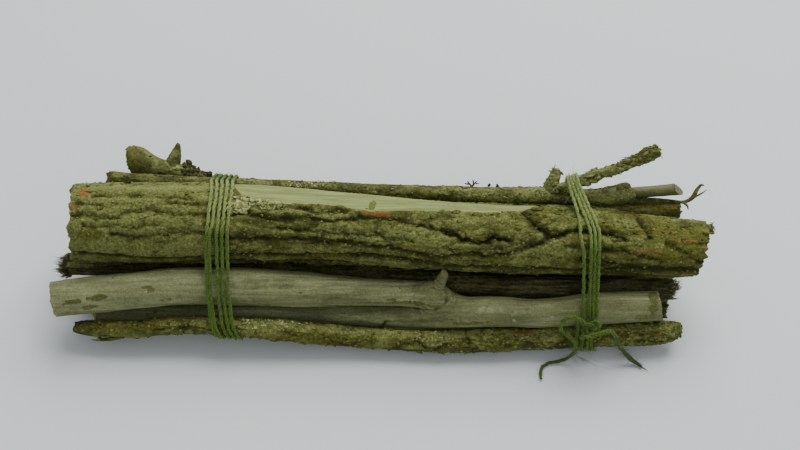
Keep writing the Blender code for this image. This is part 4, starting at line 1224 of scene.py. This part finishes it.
crumb_dice = np.random.default_rng(77)
crumb_x = crumb_dice.uniform(-69, -58, 60)
crumb_line = smooth_route(KNOBBLY_ROUTE, 0.5)
crumb_y = np.interp(crumb_x, crumb_line[:, 0], crumb_line[:, 1])
crumb_z = np.interp(crumb_x, crumb_line[:, 0], crumb_line[:, 2])
crumb_turn = np.radians(crumb_dice.uniform(35, 125, 60))
crumb_out = np.stack([0 * crumb_turn, np.cos(crumb_turn), np.sin(crumb_turn)], axis=1)
crumbs = np.stack([crumb_x, crumb_y, crumb_z], axis=1) + crumb_out * crumb_dice.uniform(2.6, 3.6, (60, 1))
crumb_sizes = crumb_dice.uniform(0.45, 1.0, (60, 1)) * np.array([1.1, 0.9, 0.8])
buds = np.array([(-67.0, 37.3, 31.0), (-59.8, 33.4, 29.6), (-63.9, 35.6, 29.9), (35.6, 21.4, 37.4), (38.4, 21.0, 37.5)])
bud_sizes = np.array([1.2, 1.15, 0.8, 0.55, 0.6])[:, None] * np.array([1.0, 0.95, 1.0])
up_way = np.tile([0.0, 0.5, 0.85], (5, 1))
sprig = [
    spike([(29.8, 21.0, 35.8, 0.4), (29.6, 21.9, 36.6, 0.36), (28.4, 23.0, 37.6, 0.24)], 301),
    spike([(29.7, 21.6, 36.4, 0.36), (30.6, 22.3, 36.9, 0.34), (31.6, 23.0, 37.6, 0.24)], 302),
    spike([(29.2, 22.3, 37.0, 0.3), (28.4, 22.4, 36.9, 0.28), (27.5, 22.6, 37.1, 0.2)], 303),
    spike([(30.5, 22.2, 36.9, 0.3), (30.4, 22.8, 37.6, 0.28), (30.2, 23.2, 38.2, 0.2)], 304),
    spike([(31.0, 22.6, 37.2, 0.3), (31.7, 22.4, 37.0, 0.28), (32.4, 22.5, 37.2, 0.2)], 305),
]
dark_bits = [lumps(crumbs, crumb_out, crumb_sizes, 310, 0.5, {"raised": 0.3}), lumps(buds, up_way, bud_sizes, 311, 0.1), *sprig]
make_piece("buds_and_crumbs", dark_bits, DARK_BARK, "dark_bark")

# %% [markdown]
# ## Broken fibres
#
# Where dark, rotten wood broke, it frayed into fibres that point along the stick. A fibre is a bent spike with
# three sides, and a few hundred are worked out together. A strip of inner bark has also peeled off beside
# the thin twig and curls up: it is a flat ribbon on a path.


# %% Spikes and ribbons
def hairs(starts, ways, lengths, thick, curl, seed, steps=5):
    """Many hairs in one mesh: hair k is a bent three-sided spike from its start, thinner towards its tip."""
    rng = np.random.default_rng(seed)
    count = len(starts)
    t = np.linspace(0, 1, steps)[None, :, None]
    bend = unit(rng.normal(size=(count, 1, 3))) * curl
    middle = starts[:, None] + lengths[:, None, None] * (ways[:, None] * t + bend * t**2)
    middle[..., 2] = np.maximum(middle[..., 2], thick)
    side = unit(np.cross(ways, rng.normal(size=(count, 3))))
    up = np.cross(unit(ways), side)
    angle = np.arange(3) / 3 * math.tau
    ring = side[:, None, None] * np.cos(angle)[:, None] + up[:, None, None] * np.sin(angle)[:, None]
    points = middle[:, :, None] + ring * (thick * (1.02 - t))[..., None]
    tube, fans = tube_faces(steps, 3)
    each = steps * 3 + 2
    points = np.concatenate([points.reshape(count, -1, 3), middle[:, :1], middle[:, -1:]], axis=1)
    start = (np.arange(count) * each)[:, None, None]
    return points.reshape(-1, 3), [(tube + start).reshape(-1, 4), (fans + start).reshape(-1, 3)], np.zeros((count * each, len(FIELDS)))


def frayed_end(route, place, way, count, seed, length, thick, spread, tufts=12):
    """Fibres in tufts: each starts near its tuft's place on the broken end and points about the tuft's way."""
    rng = np.random.default_rng(seed)
    x, y, z, radius = smooth_route(route, 1.0)[place]
    turn, out = rng.random(tufts) * math.tau, np.sqrt(rng.random(tufts)) * radius * 0.85
    places = np.stack([rng.uniform(-0.8, 0.4, tufts) * way, out * np.cos(turn), out * np.sin(turn)], axis=1)
    heading = np.stack([np.full(tufts, float(way)), *(spread * rng.normal(size=(2, tufts)))], axis=1)
    pick = rng.integers(0, tufts, count)
    starts = np.array([x, y, z]) + places[pick] + rng.normal(0, 0.13 * radius, (count, 3))
    ways = unit(heading[pick] + rng.normal(0, 0.12, (count, 3)))
    lengths = length * (0.5 + 0.5 * rng.random(tufts))[pick] * rng.uniform(0.5, 1.0, count)
    return hairs(starts, ways, lengths, thick, 0.25, seed + 1)


def ribbon(route, seed, thin=0.25, around=12):
    """A flat strip: a tube whose points are drawn in along one direction, so that its section is an oval."""
    points, faces, values = stick_surface(route, 0.4, around, rough_bark(0.04, 1.0, seed), (0, 0, 0.2, 1), (0, 0, 0.2, 1))
    rows = smooth_route(route, 0.4)
    nearest = np.abs(points[:, None, 0] - rows[None, :, 0]).argmin(axis=1)
    away = points - rows[nearest, :3]
    flat_way = unit(np.array([0.0, 0.64, -0.77]))
    return points - (1 - thin) * (away @ flat_way)[:, None] * flat_way, faces, values


# %% Fray the ends
fibres = [
    frayed_end(FRAYED_ROUTE, 0, -1, 340, 401, 5.0, 0.2, 0.36, 22),
    frayed_end(FRAYED_ROUTE, -1, 1, 200, 402, 5.2, 0.36, 0.16, 16),
    frayed_end(SPLINTER_ROUTE, -1, 1, 30, 406, 2.2, 0.2, 0.3, 5),
    frayed_end(INNER_ROUTE, -2, 1, 40, 403, 3.0, 0.25, 0.15, 6),
    frayed_end(LOG_ROUTE, -2, 1, 30, 404, 2.6, 0.14, 0.5),
    frayed_end(KNOBBLY_ROUTE, -2, 1, 24, 405, 2.0, 0.16, 0.2),
]
FIBRE = two_tone_material("broken fibres", (0.075, 0.075, 0.026), (0.19, 0.19, 0.08))
make_piece("broken_fibres", fibres, FIBRE, "bark")
peeled = [
    ribbon([(82.0, 20.0, 31.4, 0.9), (90.0, 19.9, 31.6, 0.9), (96.2, 19.7, 31.4, 0.7), (101.2, 19.4, 31.15, 0.6),
            (104.3, 20.5, 32.0, 0.8), (105.9, 22.5, 33.8, 0.7), (107.3, 23.8, 34.8, 0.5), (108.3, 23.7, 34.7, 0.2)], 411),
    ribbon([(102.5, 19.7, 31.4, 0.5), (105.0, 20.6, 32.2, 0.4), (107.6, 21.6, 33.2, 0.3), (109.4, 22.6, 34.0, 0.12)], 412),
    ribbon([(101.0, 19.4, 31.2, 0.5), (102.6, 18.6, 30.4, 0.45), (102.9, 17.9, 29.8, 0.3), (103.1, 17.4, 29.3, 0.15)], 413),
    ribbon([(-86.0, -18.6, 6.5, 0.5), (-90.0, -19.3, 6.1, 0.5), (-94.0, -19.6, 5.9, 0.35), (-97.0, -19.4, 5.9, 0.1)], 414),
    ribbon([(-88.0, -18.2, 6.1, 0.5), (-92.0, -18.9, 5.9, 0.4), (-95.0, -19.2, 6.3, 0.12)], 415),
]
make_piece("peeled_strips", peeled, TWIG_BARK, "bark")

# %% [markdown]
# ## The green twine
#
# Jute twine is three plies twisted round each other, each a bundle of hairs. Two windings hold the sticks. A
# taut turn touches only the outermost places, so its path is the tight outline of all the sticks: in each
# direction it lies against whatever reaches furthest.

# %% Where a taut turn lies
TWINE_DIAMETER = 1.6
TWINE_PITCH = 1.8
WINDING_LOOK = 1.36
TWINE_STEP = 0.6
# Degrees round the bundle, and how far the left winding slants there in mm.
LEFT_SLANT = (
    (0, 0.9), (30, 0.6), (50, 0.6), (62, 1.5), (80, 1.8), (100, 1.5), (120, 0.95), (133, 0.6), (143.3, 0.0),
    (144.2, 0.1), (148, 1.6), (170, 2.2), (190, 2.8), (210, 3.0), (240, 2.8), (270, 2.2), (313, 1.4),
)
# Degrees, how far the right winding slants there, and how close its turns draw together. Its first turn lies
# apart from the others, so it has a line of its own.
RIGHT_SLANT = (
    (0, -5.0, 0.3), (40, -7.0, 0.75), (70, -1.2, 0.1), (112, -0.55, 0.35), (134, -0.15, 0.45), (145, 0.0, 0.55),
    (150, 0.1, 0.95), (158, 0.5, 0.7), (200, 1.1, 0.2), (215, 2.2, 0.0), (300, 1.5, 0.0),
)
RIGHT_FIRST = ((40, -2.2), (70, -1.0), (112, -0.2), (134, 0.2), (150, 1.3), (158, 1.3), (200, 1.3), (300, 1.5))
# Where the right winding's first turn crosses the limb in mm, how far apart the turns are there, and the height
# above which only the limb lies.
RIGHT_CREST = (60.9, 0.9)
LIMB_FROM = 42.6
TIES = ("twine_left", "twine_right", "knot_left", "knot_right", "tail_hooked", "tail_straight")


def stick_edges(left_out):
    """The two ends of every mesh edge of the CAD sticks, in part.py's millimetres, but not the broken spur's."""
    starts, ends = [], []
    for name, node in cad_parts.items():
        if name in TIES or name in left_out:
            continue
        points = np.empty(len(node.data.vertices) * 3)
        node.data.vertices.foreach_get("co", points)
        points = points.reshape(-1, 3) / MM - SHIFT
        edges = np.empty(len(node.data.edges) * 2, int)
        node.data.edges.foreach_get("vertices", edges)
        edges = edges.reshape(-1, 2)
        if name == "top_twig":
            edges = edges[points[edges, 2].max(axis=1) < 40.2]
        starts.append(points[edges[:, 0]])
        ends.append(points[edges[:, 1]])
    return np.vstack(starts), np.vstack(ends)


OVER_LIMB, UNDER_LIMB = stick_edges(()), stick_edges(("top_twig_limb",))


def touched(x, angle, edges):
    """The place on the section at x that lies furthest in that direction, moved out by the twine's radius."""
    before, after = edges[0][:, 0] - x, edges[1][:, 0] - x
    crossing = before * after < 0
    share = (before[crossing] / (before[crossing] - after[crossing]))[:, None]
    section = (edges[0][crossing] * (1 - share) + edges[1][crossing] * share)[:, 1:]
    way = np.array([math.cos(angle), math.sin(angle)])
    return section[(section @ way).argmax()] + way * (TWINE_DIAMETER / 2 + 0.1)


def taut_path(x_first, turns, start, lean, crest=None):
    """Turns side by side: the place touched in each of 120 directions a turn, then evenly spaced and eased.

    Near its crest a turn may lie on the limb instead, at an x of its own, where that reaches further. A turn
    jumps from stick to stick, so its steps along the bundle are eased far more than its outline.
    """
    rows = []
    for step in range(turns * 120 + 1):
        turn, angle = step / 120, start + step / 120 * math.tau
        x = x_first + turn * TWINE_PITCH + lean(turn, angle)
        row = (x, *touched(x, angle, UNDER_LIMB))
        if crest and 0.61 < turn % 1 < 0.87:
            x = crest[0] + crest[1] * int(turn)
            other = (x, *touched(x, angle, OVER_LIMB))
            further = (other[1] - row[1]) * math.cos(angle) + (other[2] - row[2]) * math.sin(angle) > 0
            row = other if further and other[2] > LIMB_FROM else row
        rows.append(row)
    line = even(np.array(rows), 0.3)
    for _ in range(90):
        line[1:-1, 0] = (line[:-2, 0] + 2 * line[1:-1, 0] + line[2:, 0]) / 4
    for _ in range(4):
        line[1:-1] = (line[:-2] + 2 * line[1:-1] + line[2:]) / 4
    line[:, 2] = np.maximum(line[:, 2], 0.8)
    return even(line, TWINE_STEP)


def left_lean(turn, angle):
    """The left winding leans left on the front of the log, where its second turn slides against the first."""
    slant = np.interp(math.degrees(angle), *zip(*LEFT_SLANT), period=360)
    slid = step_up(turn, 1.35, 1.44) - step_up(turn, 1.50, 1.62)
    closer = 0.2 * dip(math.degrees(angle) % 360 - 105, 45)
    return slant - closer * (turn - 1.4) - 0.75 * float(slid)


def right_lean(turn, angle):
    """The right winding slants, and its first turn lies apart from the others."""
    if turn < 1.1:
        return np.interp(math.degrees(angle), *zip(*RIGHT_FIRST), period=360)
    degrees, slants, closings = zip(*RIGHT_SLANT)
    slant = np.interp(math.degrees(angle), degrees, slants, period=360)
    closing = np.interp(math.degrees(angle), degrees, closings, period=360)
    apart = np.interp(turn, (1.15, 1.65), (0.0, 1.0))
    return slant - closing * (turn - 2.1) + apart * (1.2 + 1.2 * math.cos(angle - math.radians(50)))


left_path = taut_path(-58.0, 5, math.radians(-12), left_lean)
right_path = taut_path(62.7, 4, math.radians(160), right_lean, RIGHT_CREST)
print("twine in the windings:", round(len(left_path) * TWINE_STEP), "mm and", round(len(right_path) * TWINE_STEP), "mm")


# %% Plies and hairs
def ply_surfaces(path, diameter, around=8, plies=3, pitch=6.5, taper=None, seed=0, shade_along=0.0):
    """Each ply's middle turns round the path: path + offset * (side cos b + up sin b), b growing along it."""
    along, side, up = frames(path, np.array([1.0, 0.13, 0.09]))
    travelled = np.concatenate([[0.0], np.cumsum(np.linalg.norm(np.diff(path, axis=0), axis=1))])
    size = np.full(len(path), diameter / 2) if taper is None else diameter / 2 * taper
    angle = np.linspace(0, math.tau, around, endpoint=False)
    surfaces = []
    for ply in range(plies):
        turn = travelled / pitch * math.tau + ply * math.tau / plies + 0.5 * np.sin(travelled / 9 + ply + seed)
        out = side * np.cos(turn)[:, None] + up * np.sin(turn)[:, None]
        middle = path + out * (0.42 * size)[:, None]
        flesh = (0.46 * size * (1 + 0.12 * np.sin(travelled / 1.7 + 2.1 * ply + seed)))[:, None]
        lumpy = flesh * (1 + 0.13 * np.sin(3 * angle + travelled[:, None] / 0.8 + ply))
        rings = middle[:, None] + lumpy[..., None] * (
            side[:, None] * np.cos(angle)[:, None] + up[:, None] * np.sin(angle)[:, None]
        )
        rings[..., 2] = np.maximum(rings[..., 2], 0.0)
        values = np.zeros((*rings.shape[:2], len(FIELDS)))
        # Painted shade along the ply, given for the free ends.
        values[..., FIELDS.index("painted_shade")] = np.broadcast_to(np.asarray(shade_along), len(path))[:, None]
        surfaces.append(close_tube(rings, values))
    return surfaces


def fuzz(path, amount, seed, reach=1.0, thick=0.035):
    """Hairs that stand off the twine: they leave its surface sideways and lean along it."""
    rng = np.random.default_rng(seed)
    along, side, up = frames(path, np.array([1.0, 0.13, 0.09]))
    pick = rng.integers(0, len(path), amount)
    turn = rng.random(amount) * math.tau
    out = side[pick] * np.cos(turn)[:, None] + up[pick] * np.sin(turn)[:, None]
    ways = unit(out * rng.uniform(0.3, 1.0, (amount, 1)) + along[pick] * rng.normal(0, 0.9, (amount, 1)))
    starts = path[pick] + out * TWINE_DIAMETER * 0.38
    lengths = reach * rng.gamma(2.0, 0.55, amount).clip(0.3, 3.5)
    return hairs(starts, ways, lengths, thick, 0.45, seed + 1)


# %% [markdown]
# ## The twine's colour
#
# The twine is dyed green, and its hairs scatter the light a little. Its colour is painted paler near the top,
# a painted highlight, and deeper near the floor, a painted shade. Fine streaks follow the hairs, and the colour drifts
# along its length.


# %% The twine material
def twine_material():
    made, tree, shader, where = new_material("green twine", 0.85)
    fibres = mottle(tree, where, 2600.0, 2.0, 0.6)
    drift = mottle(tree, where, 120.0, 3.0, 0.6)
    colour = blend_colours(tree, rise(tree, fibres, 0.3, 0.7), (0.022, 0.05, 0.002), (0.13, 0.205, 0.022))
    pale = sums(tree, "MULTIPLY", rise(tree, drift, 0.45, 0.75), 0.4)
    height = add(tree, "ShaderNodeSeparateXYZ", {"Vector": where}).outputs["Z"]
    # Painted highlight: the fibres turn pale towards the top of the bundle, above 37 mm.
    painted_top_light = sums(tree, "MULTIPLY", rise(tree, height, 0.037, 0.0435), rise(tree, fibres, 0.25, 0.6))
    colour = blend_colours(tree, pale, colour, (0.17, 0.24, 0.055))
    colour = blend_colours(tree, sums(tree, "MULTIPLY", painted_top_light, 0.72), colour, (0.36, 0.41, 0.135))
    # Painted shade: the colour deepens below 30 mm, most near the floor.
    colour = blend_colours(tree, rise(tree, height, 0.03, 0.012), colour, (0.88, 0.95, 0.55), "MULTIPLY")
    # Painted shade on the free ends and on the blade.
    colour = blend_colours(tree, mask(tree, "painted_shade"), colour, (0.045, 0.055, 0.022))
    tree.links.new(colour, shader.inputs["Base Color"])
    shader.inputs["Sheen Weight"].default_value = 0.35
    shader.inputs["Sheen Roughness"].default_value = 0.45
    shader.inputs["Sheen Tint"].default_value = (0.75, 0.9, 0.5, 1)
    bump(tree, shader, (fibres, 0.1))
    return made


GREEN_TWINE = twine_material()

# %% Make the two windings
left_twine = ply_surfaces(left_path, WINDING_LOOK)
make_piece("left_winding", [*left_twine, fuzz(left_path, 1250, 5)], GREEN_TWINE, "twine", "twine_left")
right_twine = ply_surfaces(right_path, WINDING_LOOK, seed=2)
crest = right_path[right_path[:, 2] > 43.2]
below = right_path[(right_path[:, 1] < -18) & (right_path[:, 2] < 17)]
tufts = [fuzz(right_path, 1000, 8), fuzz(crest, 150, 9, 1.5, 0.06), fuzz(below, 520, 10, 1.2, 0.06)]
make_piece("right_winding", [*right_twine, *tufts], GREEN_TWINE, "twine", "twine_right")

# %% [markdown]
# ## Knots and free ends
#
# A knot is the twine passing over and under itself. The trefoil is the simplest closed curve that does so,
# and squeezed to the size of the real knot it reads as one. Two free ends leave the right knot: one curls
# beside it and hooks round on the floor, and one goes over it and ends in a frayed point.


# %% Make the knots
def trefoil(centre, size, tilt, turns=1.0):
    """x = sin t + 2 sin 2t, y = cos t - 2 cos 2t, depth = -sin 3t, scaled to the knot's size and tipped."""
    t = np.linspace(0.0, math.tau * turns, 240)
    across, high, deep = np.sin(t) + 2 * np.sin(2 * t), np.cos(t) - 2 * np.cos(2 * t), -np.sin(3 * t)
    room = np.array(size) - TWINE_DIAMETER
    local = np.stack([across / 5.0 * room[0], deep / 2.0 * room[1], high / 5.3 * room[2]], axis=1)
    turn = np.array([[1, 0, 0], [0, math.cos(tilt), -math.sin(tilt)], [0, math.sin(tilt), math.cos(tilt)]])
    return even(local @ turn.T + centre, 0.35)


for name, node, centre, size, tilt in (
    ("left_knot", "knot_left", (-53.0, 34.3, 17.6), (8.4, 3.6, 5.4), -12),
    ("right_knot", "knot_right", (67.8, -22.5, 17.8), (6.8, 3.2, 5.0), -20),
):
    line = trefoil(np.array(centre), size, math.radians(tilt))
    surfaces = ply_surfaces(line, WINDING_LOOK, seed=4)
    make_piece(name, [*surfaces, fuzz(line, 420, 31, 1.3)], GREEN_TWINE, "twine", node)

# %% Make the two free ends
HOOKED_ROUTE = [
    (65.2, -22.9, 20.6), (63.5, -22.6, 22.0), (61.0, -22.4, 22.4), (58.7, -22.5, 21.2), (57.7, -23.0, 18.8),
    (58.6, -23.7, 16.5), (60.8, -24.3, 14.9), (62.7, -24.8, 12.9), (63.4, -25.1, 10.2), (63.2, -25.1, 7.2),
    (62.2, -24.9, 4.5), (60.6, -24.8, 2.4), (58.0, -24.9, 1.2), (55.4, -25.4, 0.9), (53.3, -26.8, 0.9),
    (52.4, -29.0, 0.9), (52.4, -31.5, 0.9),
]
STRAIGHT_ROUTE = [
    (64.6, -25.3, 15.2), (66.2, -25.9, 16.8), (68.4, -26.1, 18.0), (70.4, -25.7, 18.4), (72.2, -24.8, 18.0),
    (74.0, -23.7, 16.8), (75.4, -23.2, 15.0), (76.4, -23.2, 12.8), (77.2, -23.4, 10.5), (78.2, -23.6, 8.3),
    (79.4, -23.9, 6.3), (80.8, -24.3, 4.5), (82.4, -24.8, 2.9), (84.2, -25.6, 1.6), (86.0, -26.7, 0.9),
]


def free_end(name, node, route, seed, shade_along):
    path = smooth_route(route, 0.4)
    share = np.linspace(0, 1, len(path))
    plies = ply_surfaces(
        path, TWINE_DIAMETER, taper=0.98 - 0.2 * share**2, seed=seed, shade_along=np.interp(share, *zip(*shade_along))
    )
    piece = make_piece(name, plies, GREEN_TWINE, "twine", node)
    return path


# The last numbers paint shade along each end, as share of its length and depth: the hooked end where it runs down to
# the floor and along it, and the straight end towards its tip near the floor.
hooked = free_end("hooked_end", "tail_hooked", HOOKED_ROUTE, 6, [(0, 0), (0.55, 0), (0.66, 0.75), (0.88, 0.7), (0.94, 0)])
straight = free_end("straight_end", "tail_straight", STRAIGHT_ROUTE, 7, [(0, 0), (0.38, 0.1), (0.5, 0.6), (1, 0.8)])

# %% [markdown]
# ## Loose hairs
#
# The knot is fuzzy, the straight end is frayed flat into a blade, and a few long hairs lie on the floor. They
# are a piece of their own, because a free end has to stay a plain tube round its path.

# %% Make the loose hairs
floor_starts = np.array([(64.8, -22.0, 0.3), (65.6, -22.4, 0.3), (66.4, -22.8, 0.3), (63.6, -22.6, 0.3), (70.4, -23.6, 0.3)])
floor_ways = unit(np.array([(9.4, -7.8, 0.0), (8.0, -9.0, 0.0), (9.0, -5.0, 0.0), (3.0, -8.0, 0.0), (9.0, -4.0, 0.0)]))
blade = ribbon(
    [(76.8, -23.6, 11.4, 0.35), (78.6, -23.9, 7.9, 0.6), (80.6, -24.4, 5.0, 0.7), (82.2, -25.0, 3.2, 0.85),
     (83.6, -25.6, 2.1, 0.65), (85.4, -26.5, 1.1, 0.4), (88.0, -28.2, 0.6, 0.1)], 421, 0.3,
)
# The blade is painted dark with shade.
blade[2][:, FIELDS.index("painted_shade")] = 0.8
ring_path = hooked[: len(hooked) * 3 // 5]
loose_hairs = [
    blade,
    hairs(floor_starts, floor_ways, np.array([13.0, 8.0, 10.0, 6.0, 7.0]), 0.06, 0.35, 422, 12),
    fuzz(ring_path, 420, 423, 1.3),
    fuzz(ring_path, 14, 424, 3.2, 0.07),
    fuzz(hooked[len(ring_path):], 70, 425, 0.8),
    fuzz(straight, 200, 426, 1.1),
    fuzz(straight[len(straight) * 2 // 3 :], 130, 427, 1.1, 0.06),
]
make_piece("loose_hairs", loose_hairs, GREEN_TWINE, "twine")
